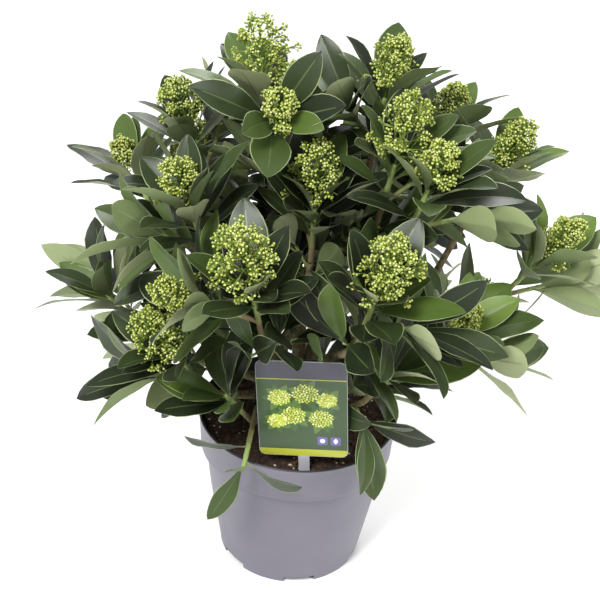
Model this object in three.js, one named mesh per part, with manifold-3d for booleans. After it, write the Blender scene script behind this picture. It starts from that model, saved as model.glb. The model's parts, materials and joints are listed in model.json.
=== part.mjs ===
// A skimmia in flower bud, growing in a round plastic nursery pot with its plant label.
// Millimetres, +Z up. The origin is the centre of the pot's flat underside, and the front is -Y.
//
// Sub-parts: the pot, the growing mix, the label on its stake, the short foot of the stem, one tapering
// bough to each mass of foliage, and the masses: each is one stem that forks into shoots by a seeded
// rule, with leaves in whorls round each shoot and a panicle of buds on top.
import * as THREE from "three";
import { mergeVertices } from "three/addons/utils/BufferGeometryUtils.js";
import Module from "manifold-3d";

const wasm = await Module();
wasm.setup();

// ---- Driving dimensions ------------------------------------------------------------------------------
const GAP = 0.3; // clearance between touching pieces

const POT = {
  height: 176,
  rimRadius: 105,
  rimTaper: 3, // how much narrower the rim band is at its lower edge
  bandHeight: 41,
  bandStep: 5.5, // how far the band stands out from the wall below it
  baseRadius: 77.5,
  wall: 2.4,
  floor: 3,
  sides: 26,
  drains: 6,
  drainWidth: 33,
  drainHeight: 7,
  drainDepth: 14, // how far each drain notch reaches in from the base's edge
  firstDrainDeg: -80,
};

const SOIL = { edgeZ: 162, crownZ: 168, flatRadius: 26, sides: 20, rings: 2, lump: 1.6 };

const LABEL = {
  width: 88,
  height: 112,
  thick: 1,
  corner: 7,
  stakeWidth: 11,
  stakeLength: 18, // shown between the growing mix and the plate
  buried: 20,
  foot: [10, -87, 164], // where the stake leaves the growing mix
  rollDeg: 5,
  leanDeg: 0,
  yawDeg: -4,
  free: 84, // leaves keep this far from its picture
  freeStep: 14,
  freeWay: [0.86, 0.5], // forward and up
};

const FOOT = {
  radius: 15,
  height: 46,
  leanX: 2,
  leanY: -2,
  sides: 8,
  outline: [[0, 1], [0.12, 0.8], [0.5, 0.68], [0.88, 0.66], [1, 0.4]], // height and half width shares
  flare: 1.25, // how far every other corner spreads at the ground
};

const LEAF = {
  length: 86,
  widthShare: 0.37, // blade width over length
  widestAt: 0.58,
  blunt: 0.8, // the lower, the blunter its tip
  rise: 0.22, // how much leaves turn up to the light
  petioleShare: 0.07, // petiole half width over blade half width
  thick: 1.8, // at the keel under the midrib
  rootHalfWidth: 0.9,
  rootThick: 1,
  sunk: 0.3, // how far the leaf starts behind its shoot's axis
  sections: [0.4, 0.73], // where the solid's blade has its cross-sections
  guardFrom: 0.1, // leaves of one shoot may touch nearer to it than this
  guardTo: 1.01,
  topSize: 0.8, // the top leaf's size, which grows to 1 over the next fullAfter leaves
  fullAfter: 3,
  olderSize: 0.9,
};

const SHOOT = {
  leaves: 7,
  olderLeaves: 1, // further down a leading shoot
  topGap: 3, // from the shoot's top to its first leaf
  spacing: 2.7,
  olderSpacing: 13,
  turnDeg: 137.5,
  uprightDeg: 24, // the top leaf's angle from the shoot
  besideBloomDeg: 31, // the same below a panicle
  spreadDeg: 4.4, // added for each leaf further down
  archDeg: 15,
  stemLength: 62,
  sideLength: 50,
  sideAngleDeg: 50,
  sideBloomShare: 0.15, // of the side shoots that carry a panicle beside a leader with one
  sideBloomSize: 0.55, // of such a panicle over its leader's
  sideClear: 8, // how far a side shoot may pass beside its leader's stem
  sideTurns: [0, 40, -40, 80, -80, 120, -120, 160],
  taper: 0.85,
  upward: 0.2, // how much shoots turn up, as a share of their lean
};

const LIMB = {
  footRadius: 6.2, // at its start, from the foot
  forkRadius: 4.6, // the same, from another limb
  tipRadius: 2.9,
  shootRadius: 2.5,
  rise: 0.5, // how steeply a limb leaves the foot
  spread: 0.15, // how far out it goes on the way
  lowMark: 345, // a limb to a mark below this leaves the foot at lowStart of its height
  lowStart: 0.4,
  highStart: 0.8,
  startOut: 0.25, // how far off the foot's axis a limb starts, over the foot's radius
  follow: 0.3, // how long a limb follows the one it grows from, over its own length
  settle: 0.25, // how long it runs along its shoot's lean before it ends
  sides: 4,
  steps: 4,
};

const BUDS = {
  stalk: 8,
  stalkRadius: 1.7,
  sides: 5,
  outline: [[0.03, 0.3], [0.2, 0.92], [0.42, 1], [0.64, 0.8], [0.84, 0.5]], // height and half width shares
  fill: 0.9, // half width of the solid over the panicle's
  lump: 0.26, // how much its half width varies
  stalkSunk: 3, // how far the stalk starts inside the shoot
  stalkIn: 0.3, // and how far it runs up inside the buds, over their height
  middle: 0.45, // height of the widest part of the room that is kept for it
  roomTop: 0.54, // how far that room reaches over and under its middle
  roomBase: 0.45,
};

// How the seeded numbers vary the growth: a least share and a spread over it, or a spread in degrees.
const VARY = {
  forkAt: [0.2, 0.15], // where a side shoot leaves its leader
  twistDeg: 20,
  sideAngleDeg: 10,
  sideLength: [0.9, 0.25],
  leafSize: [0.86, 0.28],
  leafWidth: [0.9, 0.2],
  leafTurnDeg: 16,
  leafAngleDeg: 12,
  arch: [0.2, 1.6],
};

const HEART = [0, 0, 134]; // shoots lean away from this point
const CLEAR = 0.8; // leaves keep this far from what they pass
const LIGHT = { way: [0, -0.86, 0.51], steps: [0, 26, 52] }; // panicles stand free towards the light
const ROOM = { side: 4, rim: 3, lip: 6, above: 2, sides: 16 }; // kept round the pot's wall
const BED = { inset: 4, above: 2, middle: 8, middleAbove: 4, sides: 12 }; // kept over the growing mix
const PLATE = { edge: 1, off: 2 }; // kept round the label's plate, and before and behind it

// One row for each bough and its mass of foliage. mark is the middle of the panicle, or the top of a
// shoot without one, bloom is the panicle's height and girth its half width over that, from is what the
// bough grows from and at how far along it, sides is how many side shoots it forks into and twist where
// the first one points. A row may give its own leaf count, first leaf, leaf angle, lean and share of side
// shoots that carry a panicle.
const MASSES = [
  { name: "front_left", mark: [-54, -140, 431],
    from: "foot", bloom: 78, girth: 0.38, sides: 1, twist: 200 },
  { name: "front_right", mark: [66, -150, 435],
    from: "foot", bloom: 74, girth: 0.37, sides: 1, twist: 320 },
  { name: "top_left", mark: [-57, 20, 556],
    from: "foot", bloom: 64, girth: 0.54, sides: 1, twist: 30, sideBloomShare: 1 },
  { name: "top_right", mark: [64, 30, 551], from: "foot", bloom: 54, girth: 0.4, sides: 1, twist: 100 },
  { name: "left", mark: [-198, -6, 304], from: "foot", bloom: 0, sides: 1, twist: 200 },
  { name: "right", mark: [236, -20, 407], from: "foot", bloom: 55, girth: 0.34, sides: 1, twist: 300 },
  { name: "back", mark: [-20, 170, 434], from: "foot", bloom: 56, girth: 0.42, sides: 1, twist: 60 },
  { name: "low_front_left", mark: [-71, -90, 251], from: "foot", bloom: 0, sides: 0, twist: 0 },
  { name: "low_front_right", mark: [87, -92, 292], from: "foot", bloom: 0, sides: 1, twist: 20 },
  { name: "low_left", mark: [-137, -100, 323], from: "foot", bloom: 62, girth: 0.42, sides: 1, twist: 250 },
  { name: "centre", mark: [2, -50, 473],
    from: "front_left", at: 0.45, bloom: 60, girth: 0.44, sides: 1, twist: 110 },
  { name: "left_middle", mark: [-119, -60, 459],
    from: "top_left", at: 0.4, bloom: 46, girth: 0.46, sides: 1, twist: 250 },
  { name: "upper_left", mark: [-132, 40, 496],
    from: "top_left", at: 0.55, bloom: 48, girth: 0.5, sides: 1, twist: 150 },
  { name: "left_rear", mark: [-193, 80, 420],
    from: "left", at: 0.45, bloom: 32, girth: 0.42, sides: 1, twist: 100 },
  { name: "upper_right", mark: [76, -50, 521],
    from: "top_right", at: 0.45, bloom: 60, girth: 0.5, sides: 1, twist: 325 },
  { name: "right_middle", mark: [105, -80, 503],
    from: "upper_right", at: 0.4, bloom: 42, girth: 0.5, sides: 1, twist: 300 },
  { name: "right_rear", mark: [127, 60, 503],
    from: "top_right", at: 0.55, bloom: 40, girth: 0.42, sides: 1, twist: 70 },
  { name: "high_right", mark: [185, 20, 484],
    from: "right", at: 0.35, bloom: 54, girth: 0.36, sides: 1, twist: 60 },
  { name: "low_right", mark: [147, -90, 354],
    from: "right", at: 0.5, bloom: 34, girth: 0.36, sides: 1, twist: 300 },
  { name: "top_rear", mark: [-26, 64, 512],
    from: "back", at: 0.5, bloom: 40, girth: 0.4, sides: 1, twist: 90 },
  { name: "back_left", mark: [-128, 142, 414],
    from: "back", at: 0.35, bloom: 46, girth: 0.44, sides: 1, twist: 150 },
  { name: "back_right", mark: [112, 152, 428],
    from: "back", at: 0.45, bloom: 50, girth: 0.42, sides: 1, twist: 30 },
  { name: "low_back_left", mark: [-110, 172, 304],
    from: "foot", bloom: 38, girth: 0.42, sides: 1, twist: 180 },
  { name: "low_back_right", mark: [66, 180, 300], from: "foot", bloom: 0, sides: 1, twist: 60 },
  { name: "low_right_rear", mark: [192, 104, 268],
    from: "right", at: 0.4, bloom: 38, girth: 0.42, sides: 1, twist: 20 },
  { name: "skirt", mark: [-50, -116, 182], from: "foot", bloom: 0, sides: 0, twist: 0,
    leaves: 3, first: 102, upright: 45, lean: [-0.12, -0.88, -0.46] },
];

// ---- Small helpers -----------------------------------------------------------------------------------
const UP = new THREE.Vector3(0, 0, 1);
const rad = THREE.MathUtils.degToRad;
const v3 = (x, y, z) => new THREE.Vector3(x, y, z);
const lerp = (a, b, t) => a + (b - a) * t;
const moved = (point, direction, distance) => point.clone().addScaledVector(direction, distance);

// A seeded stream of numbers from 0 to 1.
function random(seed) {
  let state = seed >>> 0;
  return () => {
    state = (state + 0x6d2b79f5) >>> 0;
    let t = Math.imul(state ^ (state >>> 15), state | 1) >>> 0;
    t = (t ^ (t + (Math.imul(t ^ (t >>> 7), t | 61) >>> 0))) >>> 0;
    return ((t ^ (t >>> 14)) >>> 0) / 4294967296;
  };
}

const shareOf = ([least, spread], next) => least + spread * next();
const swing = (spread, next) => spread * (next() - 0.5);

// Two unit vectors square to direction, the first one level.
function acrossOf(direction) {
  const side = v3(-direction.y, direction.x, 0);
  if (side.length() < 1e-6) side.set(1, 0, 0);
  side.normalize();
  return [side, direction.clone().cross(side).normalize()];
}

// The unit direction that stands angle away from axis, towards azimuth round it.
function tilted(axis, angle, azimuth) {
  const [a, b] = acrossOf(axis);
  const out = a.multiplyScalar(Math.cos(azimuth)).addScaledVector(b, Math.sin(azimuth));
  return axis.clone().multiplyScalar(Math.cos(angle)).addScaledVector(out, Math.sin(angle)).normalize();
}

// A level ring of points, turning left seen from above.
function circle(radius, z, sides) {
  return Array.from({ length: sides }, (_, k) => {
    const angle = (2 * Math.PI * k) / sides;
    return v3(radius * Math.cos(angle), radius * Math.sin(angle), z);
  });
}

// A closed solid from rings of points, each one turning left seen from the far end. The first or last
// ring may be a single point.
function loft(rings) {
  const positions = rings.flat().flatMap((p) => [p.x, p.y, p.z]);
  const faces = [];
  let low = 0;
  for (let i = 0; i + 1 < rings.length; i++) {
    const [m, n] = [rings[i].length, rings[i + 1].length];
    const high = low + m;
    for (let k = 0; k < Math.max(m, n); k++) {
      const next = k + 1;
      if (m > 1) faces.push(low + k, low + (next % m), n > 1 ? high + (next % n) : high);
      if (n > 1) faces.push(m > 1 ? low + k : low, high + (next % n), high + k);
    }
    low = high;
  }
  for (let k = 1; k + 1 < rings[0].length; k++) faces.push(0, k + 1, k);
  for (let k = 1; k + 1 < rings.at(-1).length; k++) faces.push(low, low + k, low + k + 1);
  return { positions, faces };
}

function solid({ positions, faces }) {
  const mesh = { numProp: 3, vertProperties: new Float32Array(positions), triVerts: new Uint32Array(faces) };
  return new wasm.Manifold(new wasm.Mesh(mesh));
}

function solidOfGeometry(geometry) {
  geometry.deleteAttribute("normal");
  geometry.deleteAttribute("uv");
  const merged = mergeVertices(geometry, 1e-4);
  return solid({ positions: merged.attributes.position.array, faces: merged.index.array });
}

function geometryOf(shape) {
  const { numProp, vertProperties, triVerts, numVert } = shape.getMesh();
  const positions = new Float32Array(numVert * 3);
  for (let i = 0; i < numVert; i++) {
    const first = i * numProp;
    positions.set(vertProperties.subarray(first, first + 3), i * 3);
  }
  const geometry = new THREE.BufferGeometry();
  geometry.setAttribute("position", new THREE.BufferAttribute(positions, 3));
  geometry.setIndex(new THREE.BufferAttribute(triVerts, 1));
  geometry.computeVertexNormals();
  return geometry;
}

const largest = (shape) => shape.decompose().sort((a, b) => b.volume() - a.volume())[0];

// ---- Tubes ---------------------------------------------------------------------------------------------
// Rings round a line of points, with a radius and a direction at each point.
function tubeRings(points, directions, radii, sides) {
  let [a] = acrossOf(directions[0]);
  return points.map((point, i) => {
    a = a.clone().addScaledVector(directions[i], -a.dot(directions[i])).normalize();
    const b = directions[i].clone().cross(a);
    return Array.from({ length: sides }, (_, k) => {
      const angle = (2 * Math.PI * k) / sides;
      return moved(moved(point, a, radii[i] * Math.cos(angle)), b, radii[i] * Math.sin(angle));
    });
  });
}

function straightRings(start, end, radii, sides) {
  const direction = end.clone().sub(start).normalize();
  const points = radii.map((_, i) => start.clone().lerp(end, i / (radii.length - 1)));
  return tubeRings(points, radii.map(() => direction), radii, sides);
}

// A point of a limb's bent line, and the way it runs there.
function limbPoint({ line }, t) {
  const u = 1 - t;
  const weights = [u ** 3, 3 * u * u * t, 3 * u * t * t, t ** 3];
  return weights.reduce((sum, weight, i) => sum.addScaledVector(line[i], weight), v3(0, 0, 0));
}

function limbDirection({ line }, t) {
  const u = 1 - t;
  const way = v3(0, 0, 0);
  [u * u, 2 * u * t, t * t].forEach((weight, i) => {
    way.addScaledVector(line[i + 1], weight).addScaledVector(line[i], -weight);
  });
  return way.normalize();
}

function limbRings(limb, grow, sides) {
  const shares = Array.from({ length: LIMB.steps + 1 }, (_, i) => i / LIMB.steps);
  const points = shares.map((t) => limbPoint(limb, t));
  const directions = shares.map((t) => limbDirection(limb, t));
  return tubeRings(points, directions, shares.map((t) => lerp(limb.radius, LIMB.tipRadius, t) + grow), sides);
}

// ---- Growth: where every limb, shoot, panicle and leaf stands ----------------------------------------
// The way a shoot at this point leans: away from the crown's heart, and upwards.
function leanAt(row) {
  if (row.lean) return v3(...row.lean).normalize();
  const away = v3(...row.mark).sub(v3(...HEART)).normalize();
  return away.addScaledVector(UP, SHOOT.upward).normalize();
}

// A limb from the foot first rises, one from another limb first follows it, and both end along the lean.
function growLimb(row, limbs) {
  const lean = leanAt(row);
  const tip = moved(v3(...row.mark), lean, row.bloom ? -(BUDS.stalk + row.bloom / 2) : 0);
  const end = moved(tip, lean, -SHOOT.stemLength);
  const parent = limbs.get(row.from);
  const start = parent ? limbPoint(parent, row.at) : v3(FOOT.leanX, FOOT.leanY, SOIL.crownZ);
  const out = v3(end.x - start.x, end.y - start.y, 0);
  if (!parent) {
    const height = FOOT.height * (row.mark[2] < LIMB.lowMark ? LIMB.lowStart : LIMB.highStart);
    start.addScaledVector(UP, height).addScaledVector(out.clone().normalize(), FOOT.radius * LIMB.startOut);
  }
  const span = end.distanceTo(start);
  const rise = moved(out.multiplyScalar(LIMB.spread), UP, LIMB.rise * (end.z - start.z));
  const follow = LIMB.follow * span;
  const first = parent ? moved(start, limbDirection(parent, row.at), follow) : start.clone().add(rise);
  const line = [start, first, moved(end, lean, -LIMB.settle * span), end];
  return { line, end, radius: parent ? LIMB.forkRadius : LIMB.footRadius, tip, lean };
}

// The leading shoot of a mass, on the mass's stem.
function growLeader(row, limb) {
  const base = moved(limb.end, limb.lean, GAP);
  const { tip: top, lean: axis } = limb;
  return { base, top, axis, bloom: row.bloom, girth: row.girth, radius: LIMB.tipRadius, leads: true };
}

// A side shoot of the leader: the first of the ways round it that passes everything else, or nothing.
function growSide(row, leader, index, next, guards) {
  const fork = leader.base.clone().lerp(leader.top, shareOf(VARY.forkAt, next));
  const first = rad(row.twist + (index * 360) / row.sides + swing(VARY.twistDeg, next));
  const angle = rad(SHOOT.sideAngleDeg + swing(VARY.sideAngleDeg, next));
  const length = SHOOT.sideLength * shareOf(VARY.sideLength, next);
  const { sideBloomShare = SHOOT.sideBloomShare } = row;
  const bloom = row.bloom && next() < sideBloomShare ? row.bloom * SHOOT.sideBloomSize : 0;
  for (const turn of SHOOT.sideTurns) {
    const axis = tilted(leader.axis, angle, first + rad(turn));
    const top = moved(fork, axis, length);
    const side = { base: fork, top, axis, bloom, girth: row.girth, radius: LIMB.shootRadius };
    side.guards = shootGuards(side, SHOOT.sideClear);
    if (!side.guards.some((one) => guards.some((guard) => crosses(one, guard)))) return side;
  }
  return null;
}

// Every leaf that a shoot would carry, from its top down.
function leavesOf(row, shoot, next) {
  const any = 360 * next();
  const { first = any, leaves = SHOOT.leaves, upright = SHOOT.uprightDeg } = row;
  const top = shoot.bloom ? SHOOT.besideBloomDeg : upright;
  return Array.from({ length: leaves + (shoot.leads ? SHOOT.olderLeaves : 0) }, (_, i) => {
    const older = Math.max(0, i - leaves + 1);
    const step = Math.min(i, leaves);
    const young = lerp(LEAF.topSize, 1, Math.min(1, i / LEAF.fullAfter));
    const size = (older ? LEAF.olderSize : young) * shareOf(VARY.leafSize, next);
    return {
      down: SHOOT.topGap + SHOOT.spacing * step + SHOOT.olderSpacing * older,
      azimuth: rad(first + SHOOT.turnDeg * i + swing(VARY.leafTurnDeg, next)),
      angle: rad(top + SHOOT.spreadDeg * step + swing(VARY.leafAngleDeg, next)),
      length: LEAF.length * size,
      width: LEAF.length * LEAF.widthShare * size * shareOf(VARY.leafWidth, next),
      arch: rad(SHOOT.archDeg * shareOf(VARY.arch, next)),
    };
  });
}

// A leaf in place: where it starts, the way it runs, its upper side and its side.
function leafFrame(shoot, leaf, turn, open) {
  const root = moved(shoot.top, shoot.axis, -leaf.down);
  const along = tilted(shoot.axis, leaf.angle + open, leaf.azimuth + turn);
  along.addScaledVector(UP, LEAF.rise).normalize();
  const up = moved(shoot.axis, along, -shoot.axis.dot(along)).normalize();
  return { ...leaf, root, along, up, side: along.clone().cross(up) };
}

// The blade's half width at t of its length, as a share of its widest.
function widthAt(t) {
  const u = Math.min(1, Math.max(0, (t - 0.06) / 0.94));
  const power = Math.log(0.5) / Math.log(LEAF.widestAt);
  return Math.max(t < 0.5 ? LEAF.petioleShare : 0, Math.sin(Math.PI * u ** power) ** LEAF.blunt);
}

// A point of the blade: t along it, across it in mm, and lift above it.
function bladePoint(leaf, t, across, lift) {
  const bend = leaf.arch * t;
  const reach = (leaf.length * Math.sin(bend)) / leaf.arch;
  const drop = (leaf.length * (1 - Math.cos(bend))) / leaf.arch;
  const normal = moved(leaf.up.clone().multiplyScalar(Math.cos(bend)), leaf.along, Math.sin(bend));
  const middle = moved(moved(leaf.root, leaf.along, reach), leaf.up, -drop);
  return moved(moved(middle, leaf.side, across), normal, lift);
}

// ---- Keeping clear: each thing in the crown as a few triangles and edges ------------------------------
function guardOf(points, triangles, edges) {
  return { points, triangles, edges, box: new THREE.Box3().setFromPoints(points) };
}

// The blade from a little way out of its shoot, as two rows of squares and a tip.
function leafGuard(leaf, lift) {
  const [wide, narrow] = LEAF.sections.map((t) => (leaf.width / 2) * widthAt(t));
  const near = lerp(LEAF.rootHalfWidth, wide, LEAF.guardFrom / LEAF.sections[0]);
  const rows = [[LEAF.guardFrom, near], [LEAF.sections[0], wide], [LEAF.sections[1], narrow]];
  const across = (t, half) => [-half, 0, half].map((side) => bladePoint(leaf, t, side, lift));
  const points = rows.flatMap(([t, half]) => across(t, half));
  points.push(bladePoint(leaf, LEAF.guardTo, 0, lift));
  const squares = [0, 1, 3, 4];
  const triangles = squares.flatMap((k) => [[k, k + 1, k + 4], [k, k + 4, k + 3]]);
  triangles.push([6, 7, 9], [7, 8, 9]);
  const edges = [0, 1, 2, 3, 4, 5].map((k) => [k, k + 3]);
  edges.push([6, 9], [7, 9], [8, 9], [0, 1], [1, 2], [3, 4], [4, 5], [6, 7], [7, 8]);
  return guardOf(points, triangles, edges);
}

function ringsGuard(rings, closed) {
  const sides = rings[0].length;
  const triangles = [];
  const edges = [];
  for (let i = 0; i + 1 < rings.length; i++) {
    for (let k = 0; k < sides; k++) {
      const [a, b] = [sides * i + k, sides * i + ((k + 1) % sides)];
      triangles.push([a, b, b + sides], [a, b + sides, a + sides]);
      edges.push([a, a + sides]);
      if (closed) edges.push([a + sides, b + sides]);
    }
  }
  return guardOf(rings.flat(), triangles, edges);
}

// The shoot's stem from a little way up it, and its panicle if it has one.
function shootGuards(shoot, from) {
  const start = moved(shoot.base, shoot.axis, from);
  const end = moved(shoot.top, shoot.axis, -SHOOT.topGap);
  const radius = shoot.radius + CLEAR;
  const stem = ringsGuard(straightRings(start, end, [radius, radius], 3), false);
  return shoot.bloom ? [stem, ...LIGHT.steps.map((ahead) => bloomGuard(shoot, ahead))] : [stem];
}

// A lozenge round the panicle, or the same moved ahead of it towards the light.
function bloomGuard(shoot, ahead) {
  const middle = moved(shoot.top, shoot.axis, BUDS.stalk + shoot.bloom * BUDS.middle);
  middle.addScaledVector(v3(...LIGHT.way), ahead);
  const wide = shoot.bloom * shoot.girth + CLEAR;
  const points = acrossOf(shoot.axis).flatMap((way) => [moved(middle, way, wide), moved(middle, way, -wide)]);
  const [high, low] = [shoot.bloom * BUDS.roomTop, shoot.bloom * BUDS.roomBase];
  points.push(moved(middle, shoot.axis, high), moved(middle, shoot.axis, -low));
  const round = [[0, 2], [2, 1], [1, 3], [3, 0]];
  const triangles = round.flatMap(([i, k]) => [[i, k, 4], [i, k, 5]]);
  const edges = round.concat([0, 1, 2, 3].flatMap((i) => [[i, 4], [i, 5]]));
  return guardOf(points, triangles, edges);
}

// The outside of the pot, the top of the growing mix, the label and the room before its picture.
function fixedGuards() {
  const { height, baseRadius, rimRadius } = POT;
  const lip = height + ROOM.above;
  const wall = [[baseRadius + ROOM.side, 0], [rimRadius + ROOM.rim, lip], [rimRadius - ROOM.lip, lip]];
  const bed = [[rimRadius - BED.inset, SOIL.crownZ + BED.above], [BED.middle, SOIL.crownZ + BED.middleAbove]];
  const x = LABEL.width / 2 + PLATE.edge;
  const [lowEdge, highEdge] = [LABEL.stakeLength - PLATE.edge, LABEL.stakeLength + LABEL.height + PLATE.edge];
  const sheets = [[PLATE.off, 0]];
  for (let out = 0; out <= LABEL.free; out += LABEL.freeStep) {
    sheets.push([-PLATE.off - out * LABEL.freeWay[0], out * LABEL.freeWay[1]]);
  }
  const plates = sheets.map(([y, rise]) => {
    const [low, high] = [lowEdge + rise, highEdge + rise];
    const corners = [[-x, low], [x, low], [x, high], [-x, high]];
    const points = corners.map(([across, up]) => v3(across, y, up).applyMatrix4(labelMatrix()));
    return guardOf(points, [[0, 1, 2], [0, 2, 3]], [[0, 1], [1, 2], [2, 3], [3, 0]]);
  });
  const around = ringsGuard(wall.map(([radius, z]) => circle(radius, z, ROOM.sides)), true);
  const above = ringsGuard(bed.map(([radius, z]) => circle(radius, z, BED.sides)), false);
  return [around, above, ...plates];
}

// True where the segment from a to b passes through the triangle p, q, r.
function pierces(a, b, p, q, r) {
  const along = b.clone().sub(a);
  const first = q.clone().sub(p);
  const second = r.clone().sub(p);
  const square = along.clone().cross(second);
  const scale = first.dot(square);
  if (Math.abs(scale) < 1e-9) return false;
  const from = a.clone().sub(p);
  const u = from.dot(square) / scale;
  if (u < 0 || u > 1) return false;
  const other = from.cross(first);
  const v = along.dot(other) / scale;
  if (v < 0 || u + v > 1) return false;
  const t = second.dot(other) / scale;
  return t >= 0 && t <= 1;
}

function edgesPierce(one, two) {
  const [p, q] = [one.points, two.points];
  return one.edges.some(([i, k]) => two.triangles.some(([a, b, c]) => pierces(p[i], p[k], q[a], q[b], q[c])));
}

function crosses(one, two) {
  return one.box.intersectsBox(two.box) && (edgesPierce(one, two) || edgesPierce(two, one));
}

const TURNS = [0, 15, -15, 30, -30, 45, -45];
const OPENINGS = [0, 9, 18, -8];

// The first way of turning and opening the leaf that passes everything else, or nothing.
function placeLeaf(shoot, leaf, guards) {
  for (const open of OPENINGS) {
    for (const turn of TURNS) {
      const placed = leafFrame(shoot, leaf, rad(turn), rad(open));
      const sheets = [leafGuard(placed, CLEAR), leafGuard(placed, -CLEAR - LEAF.thick / 2)];
      if (!sheets.some((sheet) => guards.some((guard) => crosses(sheet, guard)))) return placed;
    }
  }
  return null;
}

// The whole plant: its limbs, and for each mass its shoots and the leaves that found room.
function growPlant() {
  const limbs = new Map();
  for (const row of MASSES) limbs.set(row.name, growLimb(row, limbs));
  const guards = fixedGuards();
  for (const limb of limbs.values()) guards.push(ringsGuard(limbRings(limb, CLEAR, 3), false));
  const masses = MASSES.map((row, i) => {
    const leader = growLeader(row, limbs.get(row.name));
    leader.guards = shootGuards(leader, 0);
    guards.push(...leader.guards);
    return { row, name: row.name, next: random(1000 + 17 * i), shoots: [leader], leaves: [] };
  });
  for (const { row, next, shoots } of masses) {
    for (let i = 0; i < row.sides; i++) {
      const side = growSide(row, shoots[0], i, next, guards);
      if (!side) continue;
      shoots.push(side);
      guards.push(...side.guards);
    }
  }
  for (const mass of masses) {
    for (const shoot of mass.shoots) {
      const others = guards.filter((guard) => guard !== shoot.guards[0]);
      for (const leaf of leavesOf(mass.row, shoot, mass.next)) {
        const placed = placeLeaf(shoot, leaf, others);
        if (!placed) continue;
        mass.leaves.push(placed);
        guards.push(leafGuard(placed, -LEAF.thick / 4));
        others.push(guards.at(-1));
      }
    }
  }
  return { limbs, masses };
}

// ---- Solids of the crown ------------------------------------------------------------------------------
// A blade with a keel under its midrib, from inside its shoot to a point.
function leafSolid(leaf) {
  const ring = (t, half, thick) =>
    [[half, 0], [0, -thick], [-half, 0]].map(([across, lift]) => bladePoint(leaf, t, across, lift));
  const root = ring(-LEAF.sunk / leaf.length, LEAF.rootHalfWidth, LEAF.rootThick);
  const sections = LEAF.sections.map((t) => ring(t, (leaf.width / 2) * widthAt(t), LEAF.thick));
  return solid(loft([root, ...sections, [bladePoint(leaf, 1, 0, 0)]]));
}

function twigSolid(shoot) {
  const radii = [shoot.radius, shoot.radius * SHOOT.taper];
  return solid(loft(straightRings(shoot.base, shoot.top, radii, 3)));
}

// A panicle: its stalk, and a lumpy dome of buds that narrows to its tip.
function panicleSolid({ top, axis, bloom, girth }) {
  const [a, b] = acrossOf(axis);
  const place = (share, radius, angle) => {
    const middle = moved(top, axis, BUDS.stalk + bloom * share);
    return moved(moved(middle, a, radius * Math.cos(angle)), b, radius * Math.sin(angle));
  };
  const stalkEnd = moved(top, axis, BUDS.stalk + bloom * BUDS.stalkIn);
  const stalkRadii = [BUDS.stalkRadius, BUDS.stalkRadius];
  const stalk = straightRings(moved(top, axis, -BUDS.stalkSunk), stalkEnd, stalkRadii, 3);
  const dome = BUDS.outline.map(([share, width], i) =>
    Array.from({ length: BUDS.sides }, (_, k) => {
      const lump = 1 + BUDS.lump * Math.sin(2.4 * (i * BUDS.sides + k) ** 1.3);
      return place(share, bloom * girth * width * lump * BUDS.fill, ((k + i / 2) * 2 * Math.PI) / BUDS.sides);
    }),
  );
  return solid(loft(stalk)).add(solid(loft([...dome, [place(1, 0, 0)]])));
}

function massSolid(mass) {
  const pieces = mass.shoots.map(twigSolid);
  pieces.push(...mass.shoots.filter((shoot) => shoot.bloom).map(panicleSolid));
  pieces.push(...mass.leaves.map(leafSolid));
  return largest(pieces.reduce((whole, piece) => whole.add(piece)));
}

// Each limb in turn, cut clear of the foot and of the limbs before it.
function limbSolids(limbs, foot) {
  const made = new Map();
  let taken = foot;
  for (const [name, limb] of limbs) {
    const shape = largest(solid(loft(limbRings(limb, 0, LIMB.sides))).subtract(taken));
    made.set(name, shape);
    taken = taken.add(solid(loft(limbRings(limb, GAP, LIMB.sides))));
  }
  return made;
}

// The short foot of the stem: a flat cut on the growing mix, a root flare and a blunt top.
function footSolid(grow) {
  const base = SOIL.crownZ + GAP - grow;
  const height = FOOT.height + 2 * grow;
  const rings = FOOT.outline.map(([share, width], i) =>
    circle(1, base + height * share, FOOT.sides).map((point, k) => {
      const flare = i === 0 && k % 2 ? FOOT.flare : 1;
      const radius = FOOT.radius * width * flare + grow * 1.1;
      return v3(FOOT.leanX * share + point.x * radius, FOOT.leanY * share + point.y * radius, point.z);
    }),
  );
  return solid(loft(rings));
}

// ---- Pot, growing mix and label -------------------------------------------------------------------------
const BAND_Z = POT.height - POT.bandHeight;
const UNDER_RADIUS = POT.rimRadius - POT.rimTaper - POT.bandStep;

function potSolid() {
  const { height, rimRadius, baseRadius, wall, floor, rimTaper, sides } = POT;
  const profile = [
    [baseRadius, 0],
    [UNDER_RADIUS, BAND_Z - 2],
    [rimRadius - rimTaper, BAND_Z],
    [rimRadius, height - 1],
    [rimRadius - 0.8, height],
    [rimRadius - wall, height],
    [rimRadius - rimTaper - wall, BAND_Z + 1],
    [UNDER_RADIUS - wall, BAND_Z - 3],
    [baseRadius - wall, floor],
  ];
  const rings = profile.map(([radius, z]) => circle(radius, z, sides));
  let shape = solid(loft([[v3(0, 0, 0)], ...rings, [v3(0, 0, floor)]]));
  for (let i = 0; i < POT.drains; i++) {
    const angle = rad(POT.firstDrainDeg + (i * 360) / POT.drains);
    const notch = new THREE.BoxGeometry(POT.drainDepth * 2, POT.drainWidth, POT.drainHeight * 2);
    notch.rotateZ(angle).translate(baseRadius * Math.cos(angle), baseRadius * Math.sin(angle), 0);
    shape = shape.subtract(solidOfGeometry(notch));
  }
  return shape;
}

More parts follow.
